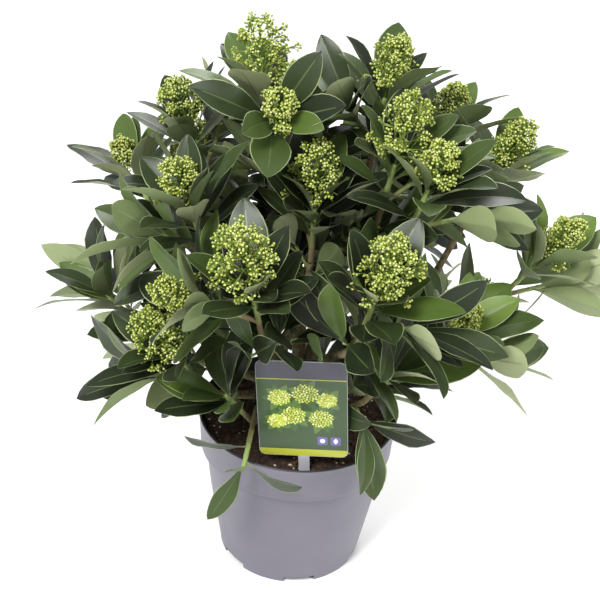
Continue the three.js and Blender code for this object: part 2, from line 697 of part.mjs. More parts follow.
// The growing mix: it fills the pot, keeps off its wall and the notches, and takes the label's stake.
function soilSolid() {
  const next = random(77);
  const inside = (radius) => radius * Math.cos(Math.PI / POT.sides) - 2 * GAP;
  const lumpy = (radius, z, lump) =>
    circle(radius, z, SOIL.sides).map((point) => point.setZ(z + 2 * lump * (next() - 0.5)));
  const neck = inside(UNDER_RADIUS - POT.wall);
  const edge = inside(POT.rimRadius - POT.rimTaper - POT.wall);
  const base = POT.drainHeight + GAP;
  const lowRadius = lerp(inside(POT.baseRadius - POT.wall), neck, base / BAND_Z);
  const rings = [circle(lowRadius - 0.5, base, SOIL.sides), circle(neck, BAND_Z - 3, SOIL.sides)];
  rings.push(circle(edge, BAND_Z + 2, SOIL.sides), circle(edge, SOIL.edgeZ, SOIL.sides));
  for (let i = 1; i <= SOIL.rings; i++) {
    const share = i / (SOIL.rings + 1);
    rings.push(lumpy(lerp(edge, SOIL.flatRadius, share), lerp(SOIL.edgeZ, SOIL.crownZ, share), SOIL.lump));
  }
  rings.push(circle(SOIL.flatRadius, SOIL.crownZ, SOIL.sides));
  return largest(solid(loft(rings)).subtract(labelSolid(GAP)));
}

function labelMatrix() {
  const turn = new THREE.Euler(rad(LABEL.leanDeg), rad(-LABEL.rollDeg), rad(LABEL.yawDeg), "ZYX");
  return new THREE.Matrix4().makeRotationFromEuler(turn).setPosition(...LABEL.foot);
}

// The label's outline in its own plane: the stake's point, the stake and the rounded plate.
function labelOutline(grow) {
  const { width, height, corner, stakeWidth, stakeLength, buried } = LABEL;
  const [side, stake] = [width / 2 + grow, stakeWidth / 2 + grow];
  const [low, high] = [stakeLength - grow, stakeLength + height + grow];
  const shape = new THREE.Shape();
  shape.moveTo(0, -buried - grow);
  shape.lineTo(stake, -buried + 8 - grow);
  shape.lineTo(stake, low);
  shape.absarc(side - corner, low + corner, corner, -Math.PI / 2, 0, false);
  shape.absarc(side - corner, high - corner, corner, 0, Math.PI / 2, false);
  shape.absarc(-side + corner, high - corner, corner, Math.PI / 2, Math.PI, false);
  shape.absarc(-side + corner, low + corner, corner, Math.PI, 1.5 * Math.PI, false);
  shape.lineTo(-stake, low);
  shape.lineTo(-stake, -buried + 8 - grow);
  shape.closePath();
  return shape;
}

function labelSolid(grow) {
  const depth = LABEL.thick + 2 * grow;
  const settings = { depth, bevelEnabled: false, curveSegments: 3 };
  const plate = new THREE.ExtrudeGeometry(labelOutline(grow), settings);
  plate.translate(0, 0, -depth / 2).rotateX(Math.PI / 2);
  return solidOfGeometry(plate.applyMatrix4(labelMatrix()));
}

// ---- The object ----------------------------------------------------------------------------------------
const COLOURS = {
  pot: [0x9c97a8, 0.55],
  soil: [0x3a221a, 0.95],
  label: [0xb9c24a, 0.35],
  bark: [0x6f6a3c, 0.8],
  leaf: [0x44583a, 0.4],
};

function mesh(name, shape, [color, roughness]) {
  const material = new THREE.MeshStandardMaterial({ color, roughness, metalness: 0 });
  const made = new THREE.Mesh(geometryOf(shape), material);
  made.name = name;
  return made;
}

function build() {
  const object = new THREE.Group();
  const { limbs, masses } = growPlant();
  object.add(mesh("pot", potSolid(), COLOURS.pot));
  object.add(mesh("growing_mix", soilSolid(), COLOURS.soil));
  object.add(mesh("label", labelSolid(0), COLOURS.label));
  object.add(mesh("stem_foot", footSolid(0), COLOURS.bark));
  for (const [name, shape] of limbSolids(limbs, footSolid(GAP))) {
    object.add(mesh(`bough_${name}`, shape, COLOURS.bark));
  }
  for (const mass of masses) object.add(mesh(`foliage_${mass.name}`, massSolid(mass), COLOURS.leaf));
  return object;
}

export default build();
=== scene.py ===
"""A skimmia in flower bud, in a round nursery pot with its picture label.

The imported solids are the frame. The plant grows here by the same rule and from the same named sizes
as its solids, with finer blades, twigs and flower buds. Sizes in the tables are in millimetres.
"""

import json
import math

import bpy
import numpy as np
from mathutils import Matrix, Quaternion, Vector
from mathutils.bvhtree import BVHTree

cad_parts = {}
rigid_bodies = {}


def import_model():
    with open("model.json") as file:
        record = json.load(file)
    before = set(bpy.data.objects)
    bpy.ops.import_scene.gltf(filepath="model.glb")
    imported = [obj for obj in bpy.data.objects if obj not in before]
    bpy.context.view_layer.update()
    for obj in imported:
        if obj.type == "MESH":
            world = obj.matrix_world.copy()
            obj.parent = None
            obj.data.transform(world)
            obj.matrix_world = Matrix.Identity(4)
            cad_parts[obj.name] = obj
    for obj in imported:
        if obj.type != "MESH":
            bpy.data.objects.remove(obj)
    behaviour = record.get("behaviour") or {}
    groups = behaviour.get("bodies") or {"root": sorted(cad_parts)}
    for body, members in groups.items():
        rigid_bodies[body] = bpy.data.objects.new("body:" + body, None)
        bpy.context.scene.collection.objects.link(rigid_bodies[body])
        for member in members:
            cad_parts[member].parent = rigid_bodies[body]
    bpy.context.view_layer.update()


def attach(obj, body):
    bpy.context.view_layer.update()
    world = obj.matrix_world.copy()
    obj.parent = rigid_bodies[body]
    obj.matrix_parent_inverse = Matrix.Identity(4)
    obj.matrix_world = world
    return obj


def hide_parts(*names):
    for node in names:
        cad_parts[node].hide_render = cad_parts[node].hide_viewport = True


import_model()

MM = 0.001

# ---- Sizes that the solids are made from ----
GAP = 0.3
POT = dict(
    height=176, rim=105, rim_taper=3, band=41, step=5.5, base=77.5, wall=2.4, floor=3,
    drains=6, drain_width=33, drain_height=7, drain_depth=14, first_drain=-80,
)
SOIL = dict(edge=162, crown=168, flat=26)
LABEL = dict(
    width=88, height=112, thick=1, corner=7, stake_width=11, stake=18, buried=20,
    foot=(10, -87, 164), roll=5, lean=0, yaw=-4, free=84, free_step=14, free_way=(0.86, 0.5),
)
FOOT = dict(radius=15, height=46, lean_x=2, lean_y=-2)
LEAF = dict(
    length=86, width=0.37, widest=0.58, blunt=0.8, rise=0.22, petiole=0.07, thick=1.8, root=0.9,
    sections=(0.4, 0.73), guard_from=0.1, guard_to=1.01, top_size=0.8, full_after=3, older_size=0.9,
)
SHOOT = dict(
    leaves=7, older=1, top_gap=3, spacing=2.7, older_spacing=13, turn=137.5, upright=24,
    beside_bloom=31, spread=4.4, arch=15, stem=62, side=50, side_angle=50, upward=0.2,
    side_bloom=0.15, side_bloom_size=0.55, side_clear=8, side_turns=(0, 40, -40, 80, -80, 120, -120, 160),
)
LIMB = dict(
    foot=6.2, fork=4.6, tip=2.9, shoot=2.5, rise=0.5, spread=0.15, low_mark=345, low_start=0.4,
    high_start=0.8, start_out=0.25, follow=0.3, settle=0.25, steps=4,
)
BUDS = dict(
    outline=((0.03, 0.3), (0.2, 0.92), (0.42, 1), (0.64, 0.8), (0.84, 0.5), (1, 0)),
    stalk=8, middle=0.45, room_top=0.54, room_base=0.45,
)
VARY = dict(
    fork_at=(0.2, 0.15), twist=20, side_angle=10, side_length=(0.9, 0.25), leaf_size=(0.86, 0.28),
    leaf_width=(0.9, 0.2), leaf_turn=16, leaf_angle=12, arch=(0.2, 1.6),
)
HEART = (0, 0, 134)
CLEAR = 0.8
LIGHT = dict(way=(0, -0.86, 0.51), steps=(0, 26, 52))
ROOM = dict(side=4, rim=3, lip=6, above=2, sides=16)
BED = dict(inset=4, above=2, middle=8, middle_above=4, sides=12)
PLATE = dict(edge=1, off=2)
def mass_row(name, mark, bloom, girth, twist, **more):
    """One bough and its mass: where its top is, its panicle's height and girth, and its turn."""
    return dict(more, name=name, mark=mark, bloom=bloom, girth=girth, twist=twist)


MASSES = [
    mass_row("front_left", (-54, -140, 431), 78, 0.38, 200),
    mass_row("front_right", (66, -150, 435), 74, 0.37, 320),
    mass_row("top_left", (-57, 20, 556), 64, 0.54, 30, side_bloom=1),
    mass_row("top_right", (64, 30, 551), 54, 0.4, 100),
    mass_row("left", (-198, -6, 304), 0, 0, 200),
    mass_row("right", (236, -20, 407), 55, 0.34, 300),
    mass_row("back", (-20, 170, 434), 56, 0.42, 60),
    mass_row("low_front_left", (-71, -90, 251), 0, 0, 0, sides=0),
    mass_row("low_front_right", (87, -92, 292), 0, 0, 20),
    mass_row("low_left", (-137, -100, 323), 62, 0.42, 250),
    mass_row("centre", (2, -50, 473), 60, 0.44, 110, parent="front_left", at=0.45),
    mass_row("left_middle", (-119, -60, 459), 46, 0.46, 250, parent="top_left", at=0.4),
    mass_row("upper_left", (-132, 40, 496), 48, 0.5, 150, parent="top_left", at=0.55),
    mass_row("left_rear", (-193, 80, 420), 32, 0.42, 100, parent="left", at=0.45),
    mass_row("upper_right", (76, -50, 521), 60, 0.5, 325, parent="top_right", at=0.45),
    mass_row("right_middle", (105, -80, 503), 42, 0.5, 300, parent="upper_right", at=0.4),
    mass_row("right_rear", (127, 60, 503), 40, 0.42, 70, parent="top_right", at=0.55),
    mass_row("high_right", (185, 20, 484), 54, 0.36, 60, parent="right", at=0.35),
    mass_row("low_right", (147, -90, 354), 34, 0.36, 300, parent="right", at=0.5),
    mass_row("top_rear", (-26, 64, 512), 40, 0.4, 90, parent="back", at=0.5),
    mass_row("back_left", (-128, 142, 414), 46, 0.44, 150, parent="back", at=0.35),
    mass_row("back_right", (112, 152, 428), 50, 0.42, 30, parent="back", at=0.45),
    mass_row("low_back_left", (-110, 172, 304), 38, 0.42, 180),
    mass_row("low_back_right", (66, 180, 300), 0, 0, 60),
    mass_row("low_right_rear", (192, 104, 268), 38, 0.42, 20, parent="right", at=0.4),
    mass_row(
        "skirt", (-50, -116, 182), 0, 0, 0,
        sides=0, leaves=3, first=102, upright=45, lean=(-0.12, -0.88, -0.46),
    ),
]
TURNS = (0, 15, -15, 30, -30, 45, -45)
OPENINGS = (0, 9, 18, -8)


# ---- Small helpers ----
def vec(*xyz):
    return np.array(xyz, float)


def length_of(v):
    return math.sqrt(v @ v)


def unit(v):
    return v / length_of(v)


def cross(a, b):
    return vec(a[1] * b[2] - a[2] * b[1], a[2] * b[0] - a[0] * b[2], a[0] * b[1] - a[1] * b[0])


def random(seed):
    """The seeded stream of numbers from 0 to 1 that the solids are grown with."""
    state = seed & 0xFFFFFFFF

    def step():
        nonlocal state
        state = (state + 0x6D2B79F5) & 0xFFFFFFFF
        t = ((state ^ (state >> 15)) * (state | 1)) & 0xFFFFFFFF
        t = (t ^ ((t + (((t ^ (t >> 7)) * (t | 61)) & 0xFFFFFFFF)) & 0xFFFFFFFF)) & 0xFFFFFFFF
        return ((t ^ (t >> 14)) & 0xFFFFFFFF) / 4294967296

    return step


def share_of(least_and_spread, step):
    least, spread = least_and_spread
    return least + spread * step()


def swing(spread, step):
    return spread * (step() - 0.5)


def across_of(direction):
    side = vec(-direction[1], direction[0], 0)
    if length_of(side) < 1e-6:
        side = vec(1, 0, 0)
    side = unit(side)
    return side, unit(cross(direction, side))


def tilted(axis, angle, azimuth):
    a, b = across_of(axis)
    out = a * math.cos(azimuth) + b * math.sin(azimuth)
    return unit(axis * math.cos(angle) + out * math.sin(angle))


def circle(radius, z, sides):
    angle = 2 * np.pi * np.arange(sides) / sides
    return np.stack([radius * np.cos(angle), radius * np.sin(angle), np.full(sides, float(z))], 1)


# ---- Limbs and shoots ----
def limb_point(line, t):
    u = 1 - t
    return line[0] * u**3 + line[1] * 3 * u * u * t + line[2] * 3 * u * t * t + line[3] * t**3


def limb_direction(line, t):
    u = 1 - t
    way = (line[1] - line[0]) * u * u + (line[2] - line[1]) * 2 * u * t + (line[3] - line[2]) * t * t
    return unit(way)


def lean_at(row):
    if "lean" in row:
        return unit(vec(*row["lean"]))
    away = unit(vec(*row["mark"]) - vec(*HEART))
    return unit(away + vec(0, 0, SHOOT["upward"]))


def grow_limb(row, limbs):
    lean = lean_at(row)
    tip = vec(*row["mark"])
    if row["bloom"]:
        tip = tip - lean * (BUDS["stalk"] + row["bloom"] / 2)
    end = tip - lean * SHOOT["stem"]
    parent = limbs.get(row.get("parent"))
    foot = vec(FOOT["lean_x"], FOOT["lean_y"], SOIL["crown"])
    start = limb_point(parent["line"], row["at"]) if parent else foot
    out = vec(end[0] - start[0], end[1] - start[1], 0)
    if not parent:
        height = FOOT["height"] * LIMB["low_start" if row["mark"][2] < LIMB["low_mark"] else "high_start"]
        start = start + vec(0, 0, height) + unit(out) * FOOT["radius"] * LIMB["start_out"]
    span = length_of(end - start)
    if parent:
        first = start + limb_direction(parent["line"], row["at"]) * LIMB["follow"] * span
    else:
        first = start + out * LIMB["spread"] + vec(0, 0, LIMB["rise"] * (end[2] - start[2]))
    line = [start, first, end - lean * LIMB["settle"] * span, end]
    radius = LIMB["fork"] if parent else LIMB["foot"]
    return dict(line=line, end=end, radius=radius, tip=tip, lean=lean)


def grow_leader(row, limb):
    base = limb["end"] + limb["lean"] * GAP
    leader = dict(base=base, top=limb["tip"], axis=limb["lean"], radius=LIMB["tip"], leads=True)
    return dict(leader, bloom=row["bloom"], girth=row["girth"])


def grow_side(row, leader, step, crown):
    fork = leader["base"] + (leader["top"] - leader["base"]) * share_of(VARY["fork_at"], step)
    first = math.radians(row["twist"] + swing(VARY["twist"], step))
    angle = math.radians(SHOOT["side_angle"] + swing(VARY["side_angle"], step))
    length = SHOOT["side"] * share_of(VARY["side_length"], step)
    blooms = row["bloom"] and step() < row.get("side_bloom", SHOOT["side_bloom"])
    bloom = row["bloom"] * SHOOT["side_bloom_size"] if blooms else 0
    for turn in SHOOT["side_turns"]:
        axis = tilted(leader["axis"], angle, first + math.radians(turn))
        side = dict(base=fork, top=fork + axis * length, axis=axis, radius=LIMB["shoot"], leads=False)
        side.update(bloom=bloom, girth=row["girth"])
        side["guards"] = shoot_guards(side, SHOOT["side_clear"])
        if not any(crown.touches(guard) for guard in side["guards"]):
            return side
    return None


def leaves_of(step, row, shoot):
    first = 360 * step()
    first = row.get("first", first)
    leaves = []
    young = row.get("leaves", SHOOT["leaves"])
    upright = SHOOT["beside_bloom"] if shoot["bloom"] else row.get("upright", SHOOT["upright"])
    for i in range(young + (SHOOT["older"] if shoot["leads"] else 0)):
        older = max(0, i - young + 1)
        down = min(i, young)
        size = LEAF["top_size"] + (1 - LEAF["top_size"]) * min(1, i / LEAF["full_after"])
        size = (LEAF["older_size"] if older else size) * share_of(VARY["leaf_size"], step)
        leaf = dict(down=SHOOT["top_gap"] + SHOOT["spacing"] * down + SHOOT["older_spacing"] * older)
        leaf["azimuth"] = math.radians(first + SHOOT["turn"] * i + swing(VARY["leaf_turn"], step))
        leaf["angle"] = math.radians(upright + SHOOT["spread"] * down + swing(VARY["leaf_angle"], step))
        leaf["length"] = LEAF["length"] * size
        leaf["width"] = LEAF["length"] * LEAF["width"] * size * share_of(VARY["leaf_width"], step)
        leaf["arch"] = math.radians(SHOOT["arch"] * share_of(VARY["arch"], step))
        leaves.append(leaf)
    return leaves


def leaf_frame(shoot, leaf, turn, opening):
    root = shoot["top"] - shoot["axis"] * leaf["down"]
    along = tilted(shoot["axis"], leaf["angle"] + opening, leaf["azimuth"] + turn)
    along = unit(along + vec(0, 0, LEAF["rise"]))
    up = unit(shoot["axis"] - along * (shoot["axis"] @ along))
    return dict(leaf, root=root, along=along, up=up, side=cross(along, up))


def width_at(t):
    u = np.clip((np.asarray(t, float) - 0.06) / 0.94, 0, 1)
    power = math.log(0.5) / math.log(LEAF["widest"])
    blade = np.sin(np.pi * u**power).clip(0) ** LEAF["blunt"]
    return np.maximum(np.where(np.asarray(t) < 0.5, LEAF["petiole"], 0), blade)


def blade_points(leaf, t, across, lift):
    """Points of the blade: t along it, across it in mm, and lift above it, as arrays of one shape."""
    t, across, lift = np.broadcast_arrays(np.asarray(t, float), across, lift)
    bend = (leaf["arch"] * t)[..., None]
    reach = leaf["length"] * np.sin(bend) / leaf["arch"]
    drop = leaf["length"] * (1 - np.cos(bend)) / leaf["arch"]
    normal = leaf["up"] * np.cos(bend) + leaf["along"] * np.sin(bend)
    middle = leaf["root"] + leaf["along"] * reach - leaf["up"] * drop
    return middle + leaf["side"] * across[..., None] + normal * lift[..., None]


# ---- Keeping clear, as the solids do ----
def guard_of(points, triangles, edges):
    """A plain stand-in for a form: its box, its triangles and its edges."""
    points = np.asarray(points, float)
    corners = points[np.asarray(triangles)]
    ends = points[np.asarray(edges).reshape(-1, 2)]
    return dict(low=points.min(0), high=points.max(0), corners=corners, ends=ends)


SHEET_TRIANGLES = [t for k in (0, 1, 3, 4) for t in ((k, k + 1, k + 4), (k, k + 4, k + 3))]
SHEET_TRIANGLES += [(6, 7, 9), (7, 8, 9)]
SHEET_EDGES = [(k, k + 3) for k in range(6)] + [(k, 9) for k in (6, 7, 8)]
SHEET_EDGES += [(k, k + 1) for k in (0, 1, 3, 4, 6, 7)]


def leaf_guard(leaf, lift):
    wide, narrow = leaf["width"] / 2 * width_at(LEAF["sections"])
    near = LEAF["root"] + (wide - LEAF["root"]) * LEAF["guard_from"] / LEAF["sections"][0]
    t = np.repeat([LEAF["guard_from"], *LEAF["sections"]], 3)
    across = np.array([-near, 0, near, -wide, 0, wide, -narrow, 0, narrow])
    points = blade_points(leaf, np.append(t, LEAF["guard_to"]), np.append(across, 0), lift)
    return guard_of(points, SHEET_TRIANGLES, SHEET_EDGES)


def tube_rings(points, directions, radii, sides):
    a = across_of(directions[0])[0]
    rings = []
    angle = 2 * np.pi * np.arange(sides) / sides
    for point, direction, radius in zip(points, directions, radii):
        a = unit(a - direction * (a @ direction))
        b = cross(direction, a)
        rings.append(point + radius * (np.outer(np.cos(angle), a) + np.outer(np.sin(angle), b)))
    return rings


def straight_rings(start, end, radii, sides):
    direction = unit(end - start)
    points = [start + (end - start) * i / (len(radii) - 1) for i in range(len(radii))]
    return tube_rings(points, [direction] * len(radii), radii, sides)


def along_limb(limb, steps):
    """Points and directions in even steps along a limb, and its radius at each."""
    shares = [i / steps for i in range(steps + 1)]
    points = [limb_point(limb["line"], t) for t in shares]
    directions = [limb_direction(limb["line"], t) for t in shares]
    return points, directions, [limb["radius"] + (LIMB["tip"] - limb["radius"]) * t for t in shares]


def limb_guard(limb):
    points, directions, radii = along_limb(limb, LIMB["steps"])
    return rings_guard(tube_rings(points, directions, [radius + CLEAR for radius in radii], 3), False)


def rings_guard(rings, closed):
    sides = len(rings[0])
    triangles, edges = [], []
    for i in range(len(rings) - 1):
        for k in range(sides):
            a, b = sides * i + k, sides * i + (k + 1) % sides
            triangles += [(a, b, b + sides), (a, b + sides, a + sides)]
            edges.append((a, a + sides))
            if closed:
                edges.append((a + sides, b + sides))
    return guard_of(np.concatenate(rings), triangles, edges)


def shoot_guards(shoot, start):
    low = shoot["base"] + shoot["axis"] * start
    high = shoot["top"] - shoot["axis"] * SHOOT["top_gap"]
    radius = shoot["radius"] + CLEAR
    stem = rings_guard(straight_rings(low, high, [radius, radius], 3), False)
    return [stem, *[bloom_guard(shoot, ahead) for ahead in LIGHT["steps"]]] if shoot["bloom"] else [stem]


def bloom_guard(shoot, ahead):
    """A lozenge round the panicle, or the same moved ahead of it toward the light."""
    axis, bloom = shoot["axis"], shoot["bloom"]
    middle = shoot["top"] + axis * (BUDS["stalk"] + bloom * BUDS["middle"]) + vec(*LIGHT["way"]) * ahead
    wide = bloom * shoot["girth"] + CLEAR
    points = [p for way in across_of(axis) for p in (middle + way * wide, middle - way * wide)]
    points += [middle + axis * bloom * BUDS["room_top"], middle - axis * bloom * BUDS["room_base"]]
    ring = [(0, 2), (2, 1), (1, 3), (3, 0)]
    triangles = [t for i, k in ring for t in ((i, k, 4), (i, k, 5))]
    edges = ring + [e for i in range(4) for e in ((i, 4), (i, 5))]
    return guard_of(points, triangles, edges)


def label_matrix():
    x, y, z = math.radians(LABEL["lean"]), math.radians(-LABEL["roll"]), math.radians(LABEL["yaw"])
    about_x = np.array([[1, 0, 0], [0, math.cos(x), -math.sin(x)], [0, math.sin(x), math.cos(x)]])
    about_y = np.array([[math.cos(y), 0, math.sin(y)], [0, 1, 0], [-math.sin(y), 0, math.cos(y)]])
    about_z = np.array([[math.cos(z), -math.sin(z), 0], [math.sin(z), math.cos(z), 0], [0, 0, 1]])
    return about_z @ about_y @ about_x


def on_label(points):
    """Points of the label (right, back, up from the foot of its stake) in the row frame."""
    return np.asarray(points, float) @ label_matrix().T + np.array(LABEL["foot"], float)


def fixed_guards():
    """The outside of the pot, the top of the mix, the label and the room before its picture."""
    rim, lip, crown = POT["rim"], POT["height"] + ROOM["above"], SOIL["crown"]
    wall = ((POT["base"] + ROOM["side"], 0), (rim + ROOM["rim"], lip), (rim - ROOM["lip"], lip))
    bed = ((rim - BED["inset"], crown + BED["above"]), (BED["middle"], crown + BED["middle_above"]))
    x, low = LABEL["width"] / 2 + PLATE["edge"], LABEL["stake"] - PLATE["edge"]
    high = LABEL["stake"] + LABEL["height"] + PLATE["edge"]
    ahead, up = LABEL["free_way"]
    sheets = [(PLATE["off"], 0)]
    for out in range(0, LABEL["free"] + 1, LABEL["free_step"]):
        sheets.append((-PLATE["off"] - out * ahead, out * up))
    plates = []
    for y, rise in sheets:
        corners = [(-x, y, low + rise), (x, y, low + rise), (x, y, high + rise), (-x, y, high + rise)]
        plates.append(guard_of(on_label(corners), [(0, 1, 2), (0, 2, 3)], [(0, 1), (1, 2), (2, 3), (3, 0)]))
    around = rings_guard([circle(radius, z, ROOM["sides"]) for radius, z in wall], True)
    above = rings_guard([circle(radius, z, BED["sides"]) for radius, z in bed], False)
    return [around, above, *plates]


def pierced(ends, corners):
    """True if any segment passes through any triangle."""
    if not len(ends) or not len(corners):
        return False
    a, along = ends[:, None, 0], (ends[:, 1] - ends[:, 0])[:, None]
    p = corners[None, :, 0]
    first, second = (corners[:, 1] - corners[:, 0])[None], (corners[:, 2] - corners[:, 0])[None]
    square = np.cross(along, second)
    scale = (first * square).sum(-1)
    flat = np.abs(scale) < 1e-9
    scale = np.where(flat, 1, scale)
    start = a - p
    u = (start * square).sum(-1) / scale
    other = np.cross(start, np.broadcast_to(first, start.shape))
    v = (along * other).sum(-1) / scale
    t = (second * other).sum(-1) / scale
    return bool((~flat & (u >= 0) & (u <= 1) & (v >= 0) & (u + v <= 1) & (t >= 0) & (t <= 1)).any())


class Crown:
    """Everything that a new leaf or shoot has to pass."""

    def __init__(self):
        self.guards = []
        self.low = np.zeros((0, 3))
        self.high = np.zeros((0, 3))

    def add(self, guards):
        self.guards += guards
        self.low = np.concatenate([self.low, [g["low"] for g in guards]])
        self.high = np.concatenate([self.high, [g["high"] for g in guards]])

    def touches(self, guard, spared=None):
        near = ((self.low <= guard["high"]) & (self.high >= guard["low"])).all(1)
        found = [self.guards[i] for i in np.flatnonzero(near) if self.guards[i] is not spared]
        if not found:
            return False
        corners = np.concatenate([g["corners"] for g in found])
        ends = np.concatenate([g["ends"] for g in found])
        return pierced(guard["ends"], corners) or pierced(ends, guard["corners"])


def place_leaf(shoot, leaf, crown):
    for opening in OPENINGS:
        for turn in TURNS:
            placed = leaf_frame(shoot, leaf, math.radians(turn), math.radians(opening))
            sheets = (leaf_guard(placed, CLEAR), leaf_guard(placed, -CLEAR - LEAF["thick"] / 2))
            if not any(crown.touches(sheet, shoot["guards"][0]) for sheet in sheets):
                return placed
    return None


def place_leaves(mass, shoot, leaves, crown):
    for leaf in leaves:
        placed = place_leaf(shoot, leaf, crown)
        if placed:
            mass["leaves"].append(placed)
            crown.add([leaf_guard(placed, -LEAF["thick"] / 4)])


def grow_plant():
    """The same plant as the solids: its limbs, and each mass's shoots and leaves."""
    limbs = {}
    for row in MASSES:
        limbs[row["name"]] = grow_limb(row, limbs)
    crown = Crown()
    crown.add(fixed_guards())
    crown.add([limb_guard(limb) for limb in limbs.values()])
    masses = []
    for i, row in enumerate(MASSES):
        leader = grow_leader(row, limbs[row["name"]])
        leader["guards"] = shoot_guards(leader, 0)
        crown.add(leader["guards"])
        masses.append(dict(row=row, step=random(1000 + 17 * i), shoots=[leader], leaves=[], finer=[]))
    for mass in masses:
        for _ in range(mass["row"].get("sides", 1)):
            side = grow_side(mass["row"], mass["shoots"][0], mass["step"], crown)
            if side:
                mass["shoots"].append(side)
                crown.add(side["guards"])
    for mass in masses:
        for shoot in mass["shoots"]:
            place_leaves(mass, shoot, leaves_of(mass["step"], mass["row"], shoot), crown)
    return limbs, masses, crown


# ---- Finer growth than the solids carry, within their reach ----
FINER = dict(size=0.82, first_down=6, spacing=8, upright=32, spread=9)
FINER_COUNT = dict(full=4, airy=2)
AIRY = (
    "right", "right_middle", "low_right", "low_right_rear", "high_right", "low_left", "low_front_left",
)
TWIG = dict(
    first=0.42, step=0.12, length=24, length_share=(0.8, 0.5), radius=1.6, angle=50, vary=14, clear=2,
    turns=(0, 60, -60, 120, -120), leaves=5,
)
TWIG_LEAVES = dict(size=0.86, first_down=1, spacing=2.8, upright=26, spread=9)
FINER_VARY = dict(size=(0.85, 0.3), width=(0.9, 0.25), angle=14, arch=(0.2, 1.6))


def finer_leaves(step, count, size, first_down, spacing, upright, spread):
    turn = 360 * step()
    leaves = []
    for i in range(count):
        share = size * share_of(FINER_VARY["size"], step)
        leaf = dict(down=first_down + spacing * i, azimuth=math.radians(turn + SHOOT["turn"] * i))
        leaf["angle"] = math.radians(upright + spread * i + swing(FINER_VARY["angle"], step))
        leaf["length"] = LEAF["length"] * share
        leaf["width"] = LEAF["length"] * LEAF["width"] * share * share_of(FINER_VARY["width"], step)
        leaf["arch"] = math.radians(SHOOT["arch"] * share_of(FINER_VARY["arch"], step))
        leaves.append(leaf)
    return leaves


def grow_twig(limb, share, turn, step, crown):
    """A leafy side twig that leaves a bough at a share of its length."""
    start, way = limb_point(limb["line"], share), limb_direction(limb["line"], share)
    length = TWIG["length"] * share_of(TWIG["length_share"], step)
    angle = math.radians(TWIG["angle"] + swing(TWIG["vary"], step))
    for more in TWIG["turns"]:
        axis = unit(tilted(way, angle, math.radians(turn + more)) + vec(0, 0, SHOOT["upward"]))
        twig = dict(base=start, top=start + axis * length, axis=axis, bloom=0, girth=0, radius=TWIG["radius"])
        twig["guards"] = shoot_guards(twig, limb["radius"] + TWIG["clear"])
        if not any(crown.touches(guard) for guard in twig["guards"]):
            return twig
    return None


def grow_finer(limbs, masses, crown):
    """More leaves on every shoot, then leafy twigs along every bough that isn't an airy one."""
    step = random(7)
    full = [mass for mass in masses if "leaves" not in mass["row"]]
    for mass in full:
        count = FINER_COUNT["airy" if mass["row"]["name"] in AIRY else "full"]
        for shoot in mass["shoots"]:
            place_leaves(mass, shoot, finer_leaves(step, count, **FINER), crown)
    for mass in full:
        if mass["row"]["name"] in AIRY:
            continue
        limb = limbs[mass["row"]["name"]]
        share, turn = TWIG["first"], 360 * step()
        while share < 1:
            twig = grow_twig(limb, share, turn, step, crown)
            if twig:
                mass["finer"].append(twig)
                crown.add(twig["guards"])
                place_leaves(mass, twig, finer_leaves(step, TWIG["leaves"], **TWIG_LEAVES), crown)
            share += TWIG["step"]
            turn += SHOOT["turn"]


# ---- Materials ----
def plain(name, colour, roughness, **sockets):
    """One even surface. Every number sits on the shader's own socket."""
    mat = bpy.data.materials.new(name)
    mat.use_nodes = True
    shader = mat.node_tree.nodes["Principled BSDF"]
    shader.inputs["Base Color"].default_value = (*colour, 1)
    shader.inputs["Roughness"].default_value = roughness
    for socket, value in sockets.items():
        shader.inputs[socket.replace("_", " ")].default_value = value
    return mat


def noise(mat, scale, detail, roughness=0.6):
    nodes, links = mat.node_tree.nodes, mat.node_tree.links
    where = nodes.new("ShaderNodeTexCoord")
    made = nodes.new("ShaderNodeTexNoise")
    made.inputs["Scale"].default_value = scale
    made.inputs["Detail"].default_value = detail
    made.inputs["Roughness"].default_value = roughness
    links.new(where.outputs["Object"], made.inputs["Vector"])
    return made.outputs["Fac"]


def ramp(mat, factor, stops):
    made = mat.node_tree.nodes.new("ShaderNodeValToRGB")
    mat.node_tree.links.new(factor, made.inputs["Fac"])
    elements = made.color_ramp.elements
    while len(elements) < len(stops):
        elements.new(0.5)
    for element, (place, colour) in zip(elements, stops):
        element.position = place
        element.color = (*colour, 1)
    return made.outputs["Color"]


def bumped(mat, height, strength, distance):
    made = mat.node_tree.nodes.new("ShaderNodeBump")
    made.inputs["Strength"].default_value = strength
    made.inputs["Distance"].default_value = distance
    mat.node_tree.links.new(height, made.inputs["Height"])
    shader = mat.node_tree.nodes["Principled BSDF"]
    mat.node_tree.links.new(made.outputs["Normal"], shader.inputs["Normal"])


def mottled(name, colour, roughness, texture, stops, grain, strength, distance):
    """A surface with the colours of the stops in one noise, and the relief of another."""
    mat = plain(name, colour, roughness)
    shader = mat.node_tree.nodes["Principled BSDF"]
    mat.node_tree.links.new(ramp(mat, noise(mat, *texture), stops), shader.inputs["Base Color"])
    bumped(mat, noise(mat, *grain), strength, distance)
    return mat


def palette(rows, **sockets):
    return [plain(*row, **sockets) for row in rows]


